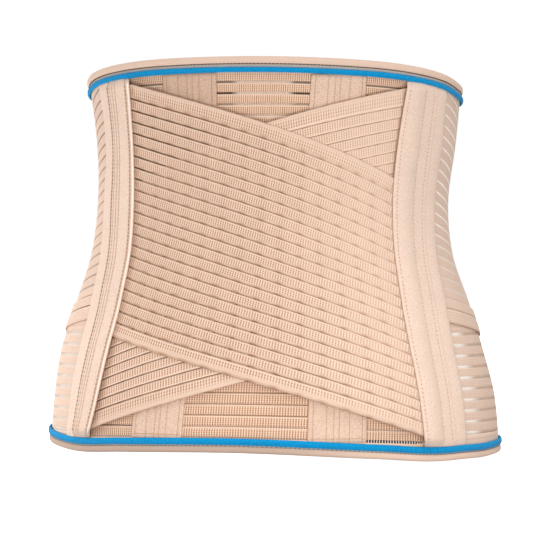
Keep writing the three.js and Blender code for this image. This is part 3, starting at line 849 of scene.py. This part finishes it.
def side_band_line(angle, at_reference):
    """Height of a side band rib, given at the reference angle: the higher it is, the faster it falls."""
    share = (at_reference - SIDE_BAND_EDGE) / (SIDE_BAND_FIRST_SLIT - SIDE_BAND_EDGE)
    fall = blend((SIDE_BAND_EDGE_FALL, SIDE_BAND_TOP_FALL), share)
    return at_reference - fall * (np.abs(angle) - SIDE_BAND_REFERENCE)


def side_angles(side, height):
    """Angles of the points along the ribs of one side."""
    return side * even_angles(SIDE_START, FRONT_SEAM, TICK_COLUMNS * SIDE_TICKS + 1, height)


def side_openings(angles, gap):
    """Width of a side slit at each angle, open between its start and its end."""
    middle = (SIDE_SLIT_START + SIDE_SLIT_END) / 2
    return opened(np.abs(angles) - middle, (SIDE_SLIT_END - SIDE_SLIT_START) / 2, gap)


def side_strands(side, count, height):
    """Angles of the strands across a side slit, to the end of its taper."""
    return side * even_angles(SIDE_SLIT_START, SIDE_SLIT_END + SLIT_TAPER, count, height)


def side_band(side, name, slit, shades, turn):
    """Upper side band: ribs that fall towards the front, the lower edge lifted over the side panel, with
    strands in the slits, whose painted shade goes from the first of the shades to the second between two
    heights."""
    cloth = Cloth(SIDE_FINISH, PALE_STRAND_FINISH)
    angles = side_angles(side, SIDE_BAND_ARC)
    slits = SIDE_BAND_FIRST_SLIT - SIDE_BAND_PITCH * np.arange(SIDE_BAND_SLITS)[::-1]
    lines = side_band_line(angles, slits[:, None])
    openings = np.broadcast_to(side_openings(angles, slit), lines.shape)
    bottom = side_band_line(angles, SIDE_BAND_EDGE)
    lower, upper = rib_edges(lines, openings, bottom, wall_top(angles))
    above_edge = (lower + upper) / 2 - bottom
    lift = OVERLAP_LIFT * (1 - ease(OVERLAP_FLAT, OVERLAP_FLAT + OVERLAP_RAMP, above_edge))
    add_ribs(cloth, PANEL_RIB, angles, lower, upper, lift, RIB_THICKNESS, SIDE_TICKS)
    strand_angles = side_strands(side, SIDE_BAND_STRANDS, SIDE_BAND_ARC)
    span, width = slit + STRAND_MARGIN, SIDE_BAND_STRAND_WIDTH
    for line in slits:
        heights = side_band_line(strand_angles, line)
        shade = blend(shades, ease(*turn, heights))
        add_strands(cloth, strand_angles, heights, span, SIDE_STRAND_LIFT, width, shade, PALE_STRAND_FINISH)
    piece = cloth.make(name)


def side_panel(side, name, slits, shades):
    """Lower side panel: horizontal ribs, the upper ones running up behind the side band. The slits and the
    painted shade of their strands go from the first value, near the seam tape, to the second, away from it."""
    cloth = Cloth(SIDE_FINISH, PALE_STRAND_FINISH)
    angles = side_angles(side, SIDE_PANEL_ARC)
    order = np.arange(SIDE_PANEL_ROWS)
    rows = SIDE_LOWEST_ROW + SIDE_ROW_PITCH * order
    edge = side_band_line(angles, SIDE_BAND_EDGE)
    top = edge + SIDE_OVERLAP
    lines = np.minimum(rows[:, None], top - SQUEEZED_ROW * (SIDE_PANEL_ROWS - order)[:, None])
    slit = blend(slits, ease(*SIDE_SLIT_CHANGE, np.abs(angles)))
    openings = np.where(lines < edge, side_openings(angles, slit), CLOSED_SLIT)
    lower, upper = rib_edges(lines, openings, wall_bottom(angles), top)
    add_ribs(cloth, PANEL_RIB, angles, lower, upper, 0, RIB_THICKNESS, SIDE_TICKS)
    strand_angles = side_strands(side, SIDE_PANEL_STRANDS, SIDE_PANEL_ARC)
    span, width = slits[0] + STRAND_MARGIN, SIDE_PANEL_STRAND_WIDTH
    for row in rows:
        shown = strand_angles[row < side_band_line(strand_angles, SIDE_BAND_EDGE) + STRAND_COVER]
        shade = blend(shades, ease(*SIDE_SHADE_CHANGE, np.abs(shown)))
        heights = np.full(len(shown), row)
        add_strands(cloth, shown, heights, span, SIDE_STRAND_LIFT, width, shade, PALE_STRAND_FINISH)
    piece = cloth.make(name)


# Crossing bands

# Shade of the plain selvage, and the places across the two outermost ribs between which the ticks begin.
SELVAGE_SHADE = 0.2
LOWEST_RIB_TICKS = (-0.15, 0.05)
HIGHEST_RIB_TICKS = (0.8, 0.45)

# How much the ticks, their relief and their painted shade, fade towards +X, and between which angles.
TICK_FADE = 0.45
TICK_FADE_ANGLES = (-5, 40)

# Painted shadow beside the two seam tapes, and the distances from a tape between which it comes in.
LEFT_END_SHADE = 0.36
LEFT_END_REACH = (4.8, 2.2)
RIGHT_END_SHADE = 0.5
RIGHT_END_REACH = (1.0, 0.2)

# Painted shade of the grooves: what they have between crossings and gain at them, where the crossings lie,
# in degrees, and how the shade fades towards +X.
GROOVE_SHADE = 0.75
CROSSING_SHADE = 0.6
CROSSING_POWER = 3
CROSSING_START = 1.2
CROSSING_STEP = 5.94
GROOVE_FADE = (0.95, 0.6)
GROOVE_FADE_ANGLES = (-30, 40)


def crossing_band(name, section, fall, slit_fall, slits, groove, upper, extent, bows, lift):
    """Band of ribs along lines that fall (+1) or rise (-1) towards +X, bow down at both ends and sag halfway
    across the band, with a plain selvage along its two edges. The slits may fall less than the edges. The
    ribs close up towards +X, and get painted shadow where they run under the seam tapes. The painted shade
    of the grooves is darkest at even steps, where the grooves of the layer below cross them."""
    cloth = Cloth(BAND_FINISH)
    angles = even_angles(-BAND_END, BAND_END, TICK_COLUMNS * BAND_TICKS + 1, BACK_ARC)
    along = angles / BAND_HALF_SPAN

    def line_at(drop, reach):
        """Height of the line that lies at a drop below the upper edge and falls by its reach."""
        share = drop / extent
        halfway = 4 * share * (1 - share)
        bow = blend(bows, share) + BAND_MIDDLE_BOW * halfway
        slope = fall * (reach + BAND_BULGE * halfway)
        return upper - drop - BAND_SAG * halfway - slope * along - bow * along ** 2

    drops = np.linspace(extent - BAND_SELVAGE, BAND_SELVAGE, BAND_RIBS - 1)
    lines = line_at(drops[:, None], slit_fall)
    gap = blend(slits, (along + 1) / 2)
    low_edge = np.maximum(line_at(extent, BAND_FALL), lower_cord(angles) + TAPE_END_SLOPE)
    high_edge = np.minimum(line_at(0, BAND_FALL), upper_cord(angles) - TAPE_END_SLOPE)
    lower, higher = rib_edges(lines, np.broadcast_to(gap, lines.shape), low_edge, high_edge)
    inside = np.ones((BAND_RIBS, 1, len(section)))
    inside[0] = ease(*LOWEST_RIB_TICKS, section[:, 0])
    inside[-1] = ease(*HIGHEST_RIB_TICKS, section[:, 0])
    mask = inside * (1 - TICK_FADE * ease(*TICK_FADE_ANGLES, angles))[None, :, None]
    middle = (lower + higher) / 2
    from_left = (angles + left_inner(middle)) / turn_for(1, angles, middle)
    from_right = (right_inner(middle) - angles) / turn_for(1, angles, middle)
    end_shade = LEFT_END_SHADE * ease(*LEFT_END_REACH, from_left)
    end_shade += RIGHT_END_SHADE * ease(*RIGHT_END_REACH, from_right)
    crossing = 0.5 + 0.5 * np.cos(2 * np.pi * (angles - CROSSING_START) / CROSSING_STEP)
    groove_shade = groove * (GROOVE_SHADE + CROSSING_SHADE * crossing ** CROSSING_POWER)
    groove_shade *= blend(GROOVE_FADE, ease(*GROOVE_FADE_ANGLES, angles))
    least = np.maximum(end_shade[:, :, None], SELVAGE_SHADE * (1 - inside))
    shading = (np.minimum(groove_shade, 1)[None, :, None], least)
    add_ribs(cloth, section, angles, lower, higher, lift, BAND_THICKNESS, BAND_TICKS, mask, shading)
    piece = cloth.make(name)


# Upright casings and seam tapes


def add_upright(cloth, levels, angles, base, face, shade, finish=None):
    """Strip of cloth on a grid of heights and angles: the inner face lies at the base lift and the outer face
    at the face lift; the section runs out along one and back along the other."""
    turn = np.concatenate([angles, angles[:, ::-1]], 1)
    level = np.concatenate([levels, levels[:, ::-1]], 1)
    points = skin(turn, level, np.concatenate([face, base[:, ::-1]], 1))[None]
    shades = np.concatenate([np.broadcast_to(shade, face.shape), np.zeros(face.shape)], 1)[None]
    reach = np.radians(turn) * half_width_at(0)
    uv = np.stack([np.append(reach, reach[:, :1], 1), np.append(level, level[:, :1], 1)], -1)[None]
    cloth.add(points, uv, shade=shades, finish=finish)


def upright_levels(lower_angle, upper_angle, count):
    """Heights from the lower cord to the upper one for each column of an upright piece."""
    return blend((lower_cord(lower_angle), upper_cord(upper_angle)), np.linspace(0, 1, count)[:, None])


# One half of a casing across its width: offset from the middle, face lift and painted shade.
CASING_HALF = np.array([
    (0.0, 2.65, 0.00),
    (7.6, 2.6, 0.00),
    (8.0, 2.5, 0.15),
    (8.4, 2.6, 0.00),
    (12.5, 2.9, 0.00),
    (16.8, 2.6, 0.00),
    (17.2, 2.4, 0.30),
    (17.6, 2.6, 0.00),
    (20.0, 2.5, 0.00),
    (20.5, 1.9, 0.50),
])
CASING_SECTION = np.concatenate([CASING_HALF[:0:-1] * (-1, 1, 1), CASING_HALF])
CASING_ROWS = 90
# Heights between which the painted shade on a casing's upper end comes in.
CASING_SHADE_RISE = (-20, 60)

# Stitches of a casing: offsets of the columns, pitch, length, width and lift, then the row across the casing.
DOT_COLUMNS = (-17.2, -8.0, -3.0, 0.8, 8.0, 17.2)
DOT_PITCH = 1.75
DOT_LENGTH = 0.8
DOT_WIDTH = 0.55
DOT_LIFT = 0.05
CROSS_SEAM_HEIGHT = 2.7
CROSS_SEAM_MARGIN = 2
CROSS_STITCH_LENGTH = 0.9


def stay_casing(side, name, upper_shade):
    """Upright casing: two slightly raised channels between columns of small stitches, with a row of stitches
    across its lower end, and painted shade towards its upper end."""
    cloth = Cloth(CASING_FINISH, ORANGE_FINISH)
    centre = side * CASING_ANGLE
    offset, face, shade = CASING_SECTION.T
    levels = upright_levels(centre + np.zeros(len(offset)), centre, CASING_ROWS)
    angles = centre + turn_for(offset, centre, levels)
    shades = shade + upper_shade * ease(*CASING_SHADE_RISE, levels)
    add_upright(cloth, levels, angles, np.full(levels.shape, CASING_LIFT), face + 0 * levels, shades)
    marks = np.arange(levels[0, 0], levels[-1, 0] - DOT_PITCH, DOT_PITCH)
    for column in DOT_COLUMNS:
        lift = np.interp(column, offset, face) + DOT_LIFT
        places = centre + turn_for(side * column, centre, marks)
        add_stitches(cloth, places, marks, 0.0, DOT_LENGTH, lift, DOT_WIDTH, ORANGE_FINISH)
    across = np.arange(offset[0] + CROSS_SEAM_MARGIN, offset[-1] - CROSS_SEAM_MARGIN, DOT_PITCH)
    seam = np.full(len(across), levels[0, 0] + CROSS_SEAM_HEIGHT)
    lift = np.interp(across, offset, face) + DOT_LIFT
    places = centre + turn_for(across, centre, seam)
    add_stitches(cloth, places, seam, CROSS_STITCH_LENGTH, 0.0, lift, DOT_WIDTH, ORANGE_FINISH)
    piece = cloth.make(name)


# Tape relief from the inner edge outwards: share of the width, cloth thickness and painted shade.
LEFT_RELIEF = np.array([
    (0.000, 0.60, 0.0),
    (0.020, 1.10, 0.0),
    (0.045, 1.20, 0.0),
    (0.058, 1.20, 0.2),
    (0.068, 1.20, 0.5),
    (0.085, 1.20, 0.5),
    (0.100, 1.60, 0.0),
    (0.200, 1.65, 0.0),
    (0.290, 1.60, 0.0),
    (0.310, 1.85, 0.0),
    (0.330, 1.30, 0.5),
    (0.350, 1.85, 0.0),
    (0.380, 1.85, 0.0),
    (0.400, 1.30, 0.5),
    (0.420, 1.85, 0.0),
    (0.450, 1.80, 0.0),
    (0.470, 1.30, 0.5),
    (0.490, 1.75, 0.0),
    (0.510, 1.60, 0.0),
    (0.525, 1.10, 0.8),
    (0.550, 1.10, 0.7),
    (0.590, 1.40, 0.1),
    (0.650, 1.50, 0.0),
    (0.820, 1.55, 0.0),
    (0.970, 1.45, 0.0),
    (1.000, 0.70, 0.4),
])
RIGHT_RELIEF = np.array([
    (0.000, 0.20, 0.2),
    (0.012, 0.60, 0.0),
    (0.040, 0.90, 0.0),
    (0.060, 0.95, 0.1),
    (0.080, 1.10, 0.0),
    (0.250, 1.50, 0.0),
    (0.410, 1.65, 0.0),
    (0.425, 1.58, 0.1),
    (0.440, 1.65, 0.0),
    (0.610, 1.62, 0.0),
    (0.625, 1.52, 0.2),
    (0.640, 1.60, 0.0),
    (0.700, 1.55, 0.0),
    (0.712, 1.38, 0.2),
    (0.724, 1.35, 0.0),
    (0.850, 1.35, 0.0),
    (0.970, 1.30, 0.0),
    (1.000, 0.70, 0.3),
])
# Stitch rows of a tape: share of the width, stitch length, stitch width and thread.
LEFT_ROWS = (
    (0.078, 1.5, 0.7, ORANGE_FINISH),
    (0.330, 0.9, 0.4, ORANGE_FINISH),
    (0.400, 0.9, 0.4, ORANGE_FINISH),
    (0.470, 0.9, 0.4, ORANGE_FINISH),
    (0.535, 1.2, 0.6, STITCH_FINISH),
)
RIGHT_ROWS = (
    (0.060, 0.8, 0.6, ORANGE_FINISH),
    (0.425, 0.8, 0.35, ORANGE_FINISH),
    (0.625, 0.9, 0.45, ORANGE_FINISH),
)
# Where a tape steps down from the bands to the side: start and end of the step from the inner edge.
LEFT_STEP = (18.6, 22.6)
RIGHT_STEP = (10.5, 19)
# Rim of the left tape: share of the width and thickness, the part of a half turn that its section covers, its
# columns, and the rows of the tape that it leaves free at both ends.
LEFT_RIM = (0.031, 1.4)
RIM_ARC = (0.05, 0.95)
RIM_COLUMNS = 6
RIM_END_ROWS = 2
# Pitch of the stitches along a tape or the front, and their lift on a tape.
STITCH_PITCH = 2.9
TAPE_STITCH_LIFT = 0.1
# Rows of a tape, the heights of its ends above the lower edge and below the upper one, and its lift there.
TAPE_ROWS = 150
TAPE_FOOT = 8
TAPE_HEAD = 12
TAPE_END_LIFT = 1.9
# Slow waves in a tape's face: height, two lengths along the tape and the turn across its width.
WAVE_HEIGHT = 0.1
WAVE_LENGTHS = (7.3, 31)
WAVE_TURN = 9


def seam_tape(side, name, inner, outer, relief, width, step_down, stitch_rows, end_lean, rim):
    """Seam tape: its inner part lies over the band ends, then it steps down to the sides, and both its ends
    slope down to the cords, leaning outwards as they sink. The face is the base lift plus the relief table,
    with slow shallow waves. A rim is a cord sewn along the inner edge: share of the width and thickness."""
    cloth = Cloth(TAPE_FINISH, STITCH_FINISH, ORANGE_FINISH, RIM_FINISH)
    share, thickness, shade = relief.T
    low, high = bottom_edge(0) + TAPE_FOOT, top_edge(0) - TAPE_HEAD
    lower_angle = side * blend((inner(low), outer(low)), share)
    upper_angle = side * blend((inner(high), outer(high)), share)
    levels = upright_levels(lower_angle, upper_angle, TAPE_ROWS)

    def place(share, level, ends):
        """Angle and base lift at a share of the width and a height, between the heights of the two ends."""
        full = blend((TAPE_OVER_BANDS, TAPE_OVER_SIDES), ease(*step_down, share * width))
        from_end = np.minimum(level - ends[0], ends[1] - level)
        sunk = (full - TAPE_END_LIFT) * ease(TAPE_END_SLOPE, 0, from_end)
        angle = blend((inner(level), outer(level)), share)
        return side * (angle + turn_for(end_lean * sunk, angle, level)), full - sunk

    ends = (levels[0], levels[-1])
    angles, base = place(share, levels, ends)
    wave = WAVE_HEIGHT * np.sin(levels / WAVE_LENGTHS[0])
    wave *= np.sin(share * WAVE_TURN + levels / WAVE_LENGTHS[1])
    add_upright(cloth, levels, angles, base, base + thickness + wave, shade)
    if rim:
        across = np.linspace(0, rim[0], RIM_COLUMNS)
        rim_levels = levels[RIM_END_ROWS:-RIM_END_ROWS, [0] * RIM_COLUMNS]
        angles, base = place(across, rim_levels, (levels[0, 0], levels[-1, 0]))
        foot = base + thickness[0]
        face = foot + rim[1] * np.sqrt(np.sin(np.pi * np.linspace(*RIM_ARC, RIM_COLUMNS)))
        add_upright(cloth, rim_levels, angles, foot, face, shade=0, finish=RIM_FINISH)
    for row, length, stitch_width, finish in stitch_rows:
        ends = (np.interp(row, share, levels[0]), np.interp(row, share, levels[-1]))
        marks = np.arange(ends[0] + TAPE_END_SLOPE, ends[1] - TAPE_END_SLOPE, STITCH_PITCH)
        angle, base = place(row, marks, ends)
        lift = base + np.interp(row, share, thickness) + TAPE_STITCH_LIFT
        add_stitches(cloth, angle, marks, 0.0, length, lift, stitch_width, finish)
    piece = cloth.make(name)


# Front closure

# Flap: angle and lift of its edge, the slope and the painted shadow beside it, and its stitches.
FLAP_EDGE = 196
FLAP_LIFT = 0.9
FLAP_SLOPE = 1.5
FLAP_SHADE_OFFSET = 0.2
FLAP_SHADE_WIDTH = 0.6
FLAP_STITCHES = 191
FLAP_STITCH_LIFT = 0.95

# Raised side seams: angle from the middle of the front, lift, the distances between which it fades, stitches.
SEAM_ANGLE = 59
SEAM_LIFT = 0.5
SEAM_FADE = (2.0, 3.5)
SEAM_STITCHES = 57.4
SEAM_STITCH_LIFT = 0.1
FRONT_STITCH_MARGIN = 6
FRONT_STITCH_LENGTH = 1.8
FRONT_STITCH_WIDTH = 0.5
FRONT_COLUMNS = 121
FRONT_ROWS = 70


def front_closure():
    """Plain front: a wall of knitted cloth with a lapped flap whose edge stands proud, and raised seams at
    both sides."""
    cloth = Cloth(FRONT_FINISH, ORANGE_FINISH)
    angles = np.linspace(FRONT_START, 360 - FRONT_START, FRONT_COLUMNS)
    share = np.linspace(0, 1, FRONT_ROWS)[:, None]
    levels = blend((wall_bottom(angles), wall_top(angles)), share)
    flap = FLAP_LIFT * ease(FLAP_EDGE, FLAP_EDGE - FLAP_SLOPE, angles)
    seam = SEAM_LIFT * (1 - ease(*SEAM_FADE, np.abs(np.abs(angles - 180) - SEAM_ANGLE)))
    shade = np.exp(-((angles - FLAP_EDGE - FLAP_SHADE_OFFSET) / FLAP_SHADE_WIDTH) ** 2)
    turn = angles + 0 * levels
    add_upright(cloth, levels, turn, 0 * levels, WALL + np.maximum(flap, seam) + 0 * levels, shade)
    low, high = wall_bottom(180) + FRONT_STITCH_MARGIN, wall_top(180) - FRONT_STITCH_MARGIN
    marks = np.arange(low, high, STITCH_PITCH)
    seams = [(180 + side * SEAM_STITCHES, SEAM_STITCH_LIFT) for side in (-1, 1)]
    for angle, above in [(FLAP_STITCHES, FLAP_STITCH_LIFT)] + seams:
        places = np.full(len(marks), angle)
        lift = WALL + above
        add_stitches(cloth, places, marks, 0.0, FRONT_STITCH_LENGTH, lift, FRONT_STITCH_WIDTH, ORANGE_FINISH)
    piece = cloth.make("front_closure")


# Bindings and piping

# Folded binding: lift and depth from the edge, as a share of the depth of the outer leg.
BINDING_SECTION = np.array([
    (2.20, 1.00),
    (2.75, 0.95),
    (3.00, 0.75),
    (3.10, 0.45),
    (2.90, 0.18),
    (2.40, 0.05),
    (1.50, 0.00),
    (-0.20, 0.00),
    (-1.10, 0.06),
    (-1.55, 0.25),
    (-1.60, 0.60),
    (-1.40, 0.98),
    (-0.45, 1.00),
    (-0.45, 0.36),
    (0.65, 0.31),
    (1.75, 0.36),
])
# Columns round a binding, UV units for each degree, and stitches round an edge.
RING_COLUMNS = 560
ROUND_RATE = 2.4
STITCH_COUNT = 320

# Puckers of the outer leg, which lies above a lift: height, number, and the shares of the depth between which
# they grow. The painted shade fades between two sines of the angle.
OUTER_LEG_LIFT = 2
PUCKER_HEIGHT = 0.06
PUCKERS = 140
PUCKER_SHARES = (0.4, 0.9)
BINDING_SHADE_FADE = (0.7, 0.1)

# Stitches of a binding: drop below the outer leg, length, lift and width.
BINDING_STITCH_DROP = 0.3
BINDING_STITCH_LENGTH = 2.3
BINDING_STITCH_LIFT = 2.3
BINDING_STITCH_WIDTH = 0.5


def add_ring(cloth, angles, lift, height, run, finish=None, shade=0):
    """Section carried round the belt: lift and height for each angle and each point of the section, and the
    run along the section for the UV map."""
    points = skin(angles[:, None], height, lift)[None]
    uv = np.stack(np.broadcast_arrays((angles * ROUND_RATE)[:, None], np.append(run, run[0])), -1)[None]
    cloth.add(points, uv, shade=shade, finish=finish, ring=True)


def binding(name, fold, depth, left_shade, edge_at):
    """Folded binding round an edge, its fold pointing up (+1) or down (-1), puckered by its seam, with a row
    of dark stitches along the outer leg. Its painted shade fades out from the left to the right."""
    cloth = Cloth(BINDING_FINISH, STITCH_FINISH)
    angles = np.linspace(0, 360, RING_COLUMNS, endpoint=False)
    lift, share = BINDING_SECTION.T
    pucker = PUCKER_HEIGHT * np.sin(np.radians(angles) * PUCKERS)[:, None]
    pucker = pucker * ease(*PUCKER_SHARES, share) * (lift > OUTER_LEG_LIFT)
    height = edge_at(angles)[:, None] - fold * depth * share
    run = np.cumsum(np.abs(np.diff(depth * share, prepend=0)) + np.abs(np.diff(lift, prepend=0)))
    shade = left_shade * ease(*BINDING_SHADE_FADE, np.sin(np.radians(angles)))[None, :, None]
    add_ring(cloth, angles, lift + pucker, height, run, shade=shade)
    # Dark stitches just past the outer leg, partly a painted shadow of the gap there.
    marks = np.linspace(0, 360, STITCH_COUNT, endpoint=False)
    heights = edge_at(marks) - fold * (depth + BINDING_STITCH_DROP)
    lift, width = BINDING_STITCH_LIFT, BINDING_STITCH_WIDTH
    add_stitches(cloth, marks, heights, BINDING_STITCH_LENGTH, 0.0, lift, width, STITCH_FINISH)
    piece = cloth.make(name)


# Flange of the piping: lift and distance from the cord's centre towards the edge.
FLANGE_SECTION = np.array([
    (2.15, 4.0),
    (2.25, 3.6),
    (2.30, 2.0),
    (2.30, 0.6),
    (1.75, 0.6),
    (1.75, 2.0),
    (1.75, 3.6),
    (1.80, 4.0),
])
# Cord: points of its section, lift of its middle, half depth, ripple, flatness and where it swells.
CORD_POINTS = 12
CORD_LIFT = 2.9
CORD_HALF_LIFT = 1.1
CORD_RIPPLE = 0.05
CORD_FLATNESS = 0.8
CORD_SWELL_ANGLES = (8, 36)
PIPING_COLUMNS = 900

# Zigzag: its middle and half height from the cord's centre, and the run, lift and width of its stitches.
ZIGZAG_MIDDLE = 2.5
ZIGZAG_HALF = 0.5
ZIGZAG_RUN = 1.35
ZIGZAG_LIFT = 2.4
ZIGZAG_WIDTH = 0.55


def piping(name, fold, depth, half_height, swell, edge_at):
    """Blue cord on the outer face, a flattened round that swells away from the middle of the back, with a
    flat flange towards the edge, held by a zigzag of grey thread."""
    cloth = Cloth(PIPING_FINISH, FLANGE_FINISH, ZIGZAG_FINISH)
    angles = np.linspace(0, 360, PIPING_COLUMNS, endpoint=False)
    centre = edge_at(angles)[:, None] - fold * depth
    turn = 2 * np.pi * np.arange(CORD_POINTS) / CORD_POINTS
    half = half_height + swell * ease(*CORD_SWELL_ANGLES, fold_angle(angles))[:, None]
    ripple = CORD_RIPPLE * np.cos(np.pi * np.arange(PIPING_COLUMNS))[:, None]
    flat_sine = np.sign(np.sin(turn)) * np.abs(np.sin(turn)) ** CORD_FLATNESS
    lift = CORD_LIFT + (CORD_HALF_LIFT + ripple) * np.cos(turn)
    add_ring(cloth, angles, lift, centre + half * flat_sine, turn * half.mean())
    lift, above = FLANGE_SECTION.T
    lifts = np.broadcast_to(lift, (PIPING_COLUMNS, len(lift)))
    add_ring(cloth, angles, lifts, centre + fold * above, above, FLANGE_FINISH)
    for start, way in ((0.0, 1), (0.5, -1)):
        marks = (np.arange(STITCH_COUNT) + start) * 360 / STITCH_COUNT
        feet = edge_at(marks) - fold * (depth - ZIGZAG_MIDDLE + ZIGZAG_HALF * way)
        rise = 2 * ZIGZAG_HALF * fold * way
        add_stitches(cloth, marks, feet, ZIGZAG_RUN, rise, ZIGZAG_LIFT, ZIGZAG_WIDTH, ZIGZAG_FINISH)
    cloth.make(name)


def build_belt():
    """All pieces, from the base panel outwards."""
    back_panel()
    side_panel(-1, "left_side_panel", slits=(0.8, 0.3), shades=(0.25, 0.5))
    side_panel(1, "right_side_panel", slits=(1.2, 0.5), shades=(0.1, 0.7))
    side_band(-1, "left_side_band", slit=0.75, shades=(0.8, 0.65), turn=(35, -20))
    side_band(1, "right_side_band", slit=0.25, shades=(0.0, 0.35), turn=(-10, -70))
    stay_casing(-1, "left_stay_casing", upper_shade=0.33)
    stay_casing(1, "right_stay_casing", upper_shade=0.03)
    crossing_band(
        "rising_band", RISING_RIB, fall=-1, slit_fall=32.7, slits=(1.1, 0.15), groove=0.8,
        upper=47.6, extent=182.7, bows=(8.6, 1.2), lift=RISING_LIFT)
    crossing_band(
        "falling_band", FALLING_RIB, fall=1, slit_fall=BAND_FALL, slits=(1.1, 0.4), groove=1.0,
        upper=49.5, extent=184.7, bows=(4.7, 3.1), lift=FALLING_LIFT)
    seam_tape(
        -1, "left_seam_tape", left_inner, left_outer, LEFT_RELIEF, width=33.5, step_down=LEFT_STEP,
        stitch_rows=LEFT_ROWS, end_lean=0.75, rim=LEFT_RIM)
    seam_tape(
        1, "right_seam_tape", right_inner, right_outer, RIGHT_RELIEF, width=40.5, step_down=RIGHT_STEP,
        stitch_rows=RIGHT_ROWS, end_lean=0.4, rim=None)
    front_closure()
    binding("top_binding", 1, TOP_BINDING_DEPTH, left_shade=0, edge_at=top_edge)
    binding("bottom_binding", -1, BOTTOM_BINDING_DEPTH, left_shade=0.75, edge_at=bottom_edge)
    piping("top_piping", 1, TOP_CORD_DEPTH, TOP_CORD_HALF, TOP_CORD_SWELL, top_edge)
    piping("bottom_piping", -1, BOTTOM_CORD_DEPTH, BOTTOM_CORD_HALF, BOTTOM_CORD_SWELL, bottom_edge)


# Studio, in metres

FLOOR_HEIGHT = -0.1955
FLOOR_RADIUS = 8.0
FLOOR_POINTS = 96
LIGHT_AIM = (0, 0, -0.05)
AMBIENT_STRENGTH = 0.6


def pale_floor():
    """Round pale floor just below the belt, as white to the camera as the surroundings."""
    material, tree, shader = cloth_material("pale_floor", roughness=0.9, sheen=0)
    shader.inputs["Base Color"].default_value = (0.6, 0.6, 0.6, 1)
    shader.inputs["Emission Color"].default_value = (1, 1, 1, 1)
    seen = tree.nodes.new("ShaderNodeLightPath").outputs["Is Camera Ray"]
    tree.links.new(seen, shader.inputs["Emission Strength"])
    mesh = bpy.data.meshes.new("floor")
    turn = np.linspace(0, 2 * np.pi, FLOOR_POINTS, endpoint=False)
    height = np.full(FLOOR_POINTS, FLOOR_HEIGHT)
    rim = np.stack([FLOOR_RADIUS * np.cos(turn), FLOOR_RADIUS * np.sin(turn), height], -1)
    mesh.from_pydata(rim.tolist(), [], [list(range(FLOOR_POINTS))])
    mesh.materials.append(material)
    floor = bpy.data.objects.new("floor", mesh)
    bpy.context.scene.collection.objects.link(floor)


def soft_light(name, place, width, height, power):
    """Soft light at a place, turned to the belt."""
    light = bpy.data.lights.new(name, "AREA")
    light.shape = "RECTANGLE"
    light.size = width
    light.size_y = height
    light.energy = power
    lamp = bpy.data.objects.new(name, light)
    lamp.location = place
    away = np.array(place) - np.array(LIGHT_AIM)
    tilt = math.acos(away[2] / np.linalg.norm(away))
    lamp.rotation_euler = (tilt, 0, math.atan2(away[1], away[0]) + math.pi / 2)
    bpy.context.scene.collection.objects.link(lamp)


def white_surroundings(strength):
    """White background for the camera, and a weaker white light from all round for the belt."""
    world = bpy.data.worlds.new("studio")
    world.use_nodes = True
    tree = world.node_tree
    background = tree.nodes["Background"]
    background.inputs["Color"].default_value = (1, 1, 1, 1)
    seen = tree.nodes.new("ShaderNodeLightPath").outputs["Is Camera Ray"]
    level = math_node(tree, "ADD", math_node(tree, "MULTIPLY", seen, 1 - strength), strength)
    tree.links.new(level, background.inputs["Strength"])
    bpy.context.scene.world = world


def photo_camera():
    """Camera at the photograph's angle: level, a little to the right of the middle of the back."""
    lens = bpy.data.cameras.new("camera")
    lens.sensor_width = SENSOR_WIDTH
    lens.lens = FOCAL_PIXELS / PHOTO_PIXELS * SENSOR_WIDTH
    lens.shift_x = (PHOTO_PIXELS / 2 - AXIS_PIXEL) / PHOTO_PIXELS
    camera = bpy.data.objects.new("camera", lens)
    camera.location = (
        CAMERA_DISTANCE * math.sin(CAMERA_AZIMUTH),
        -CAMERA_DISTANCE * math.cos(CAMERA_AZIMUTH),
        CAMERA_HEIGHT,
    )
    camera.rotation_euler = (math.pi / 2, 0, CAMERA_AZIMUTH)
    bpy.context.scene.collection.objects.link(camera)
    bpy.context.scene.camera = camera


photo_camera()
build_belt()
pale_floor()
white_surroundings(AMBIENT_STRENGTH)
soft_light("overhead", place=(0.77, -1.34, 4.7), width=3.0, height=3.0, power=84)
soft_light("right_key", place=(1.64, -1.64, 0.57), width=1.2, height=1.2, power=3)
soft_light("low_front", place=(0.12, -0.55, -0.14), width=0.9, height=0.08, power=1.5)
soft_light("low_left", place=(-0.5, 0.0, -0.14), width=0.5, height=0.08, power=1.05)
bpy.context.scene.view_settings.view_transform = "Standard"
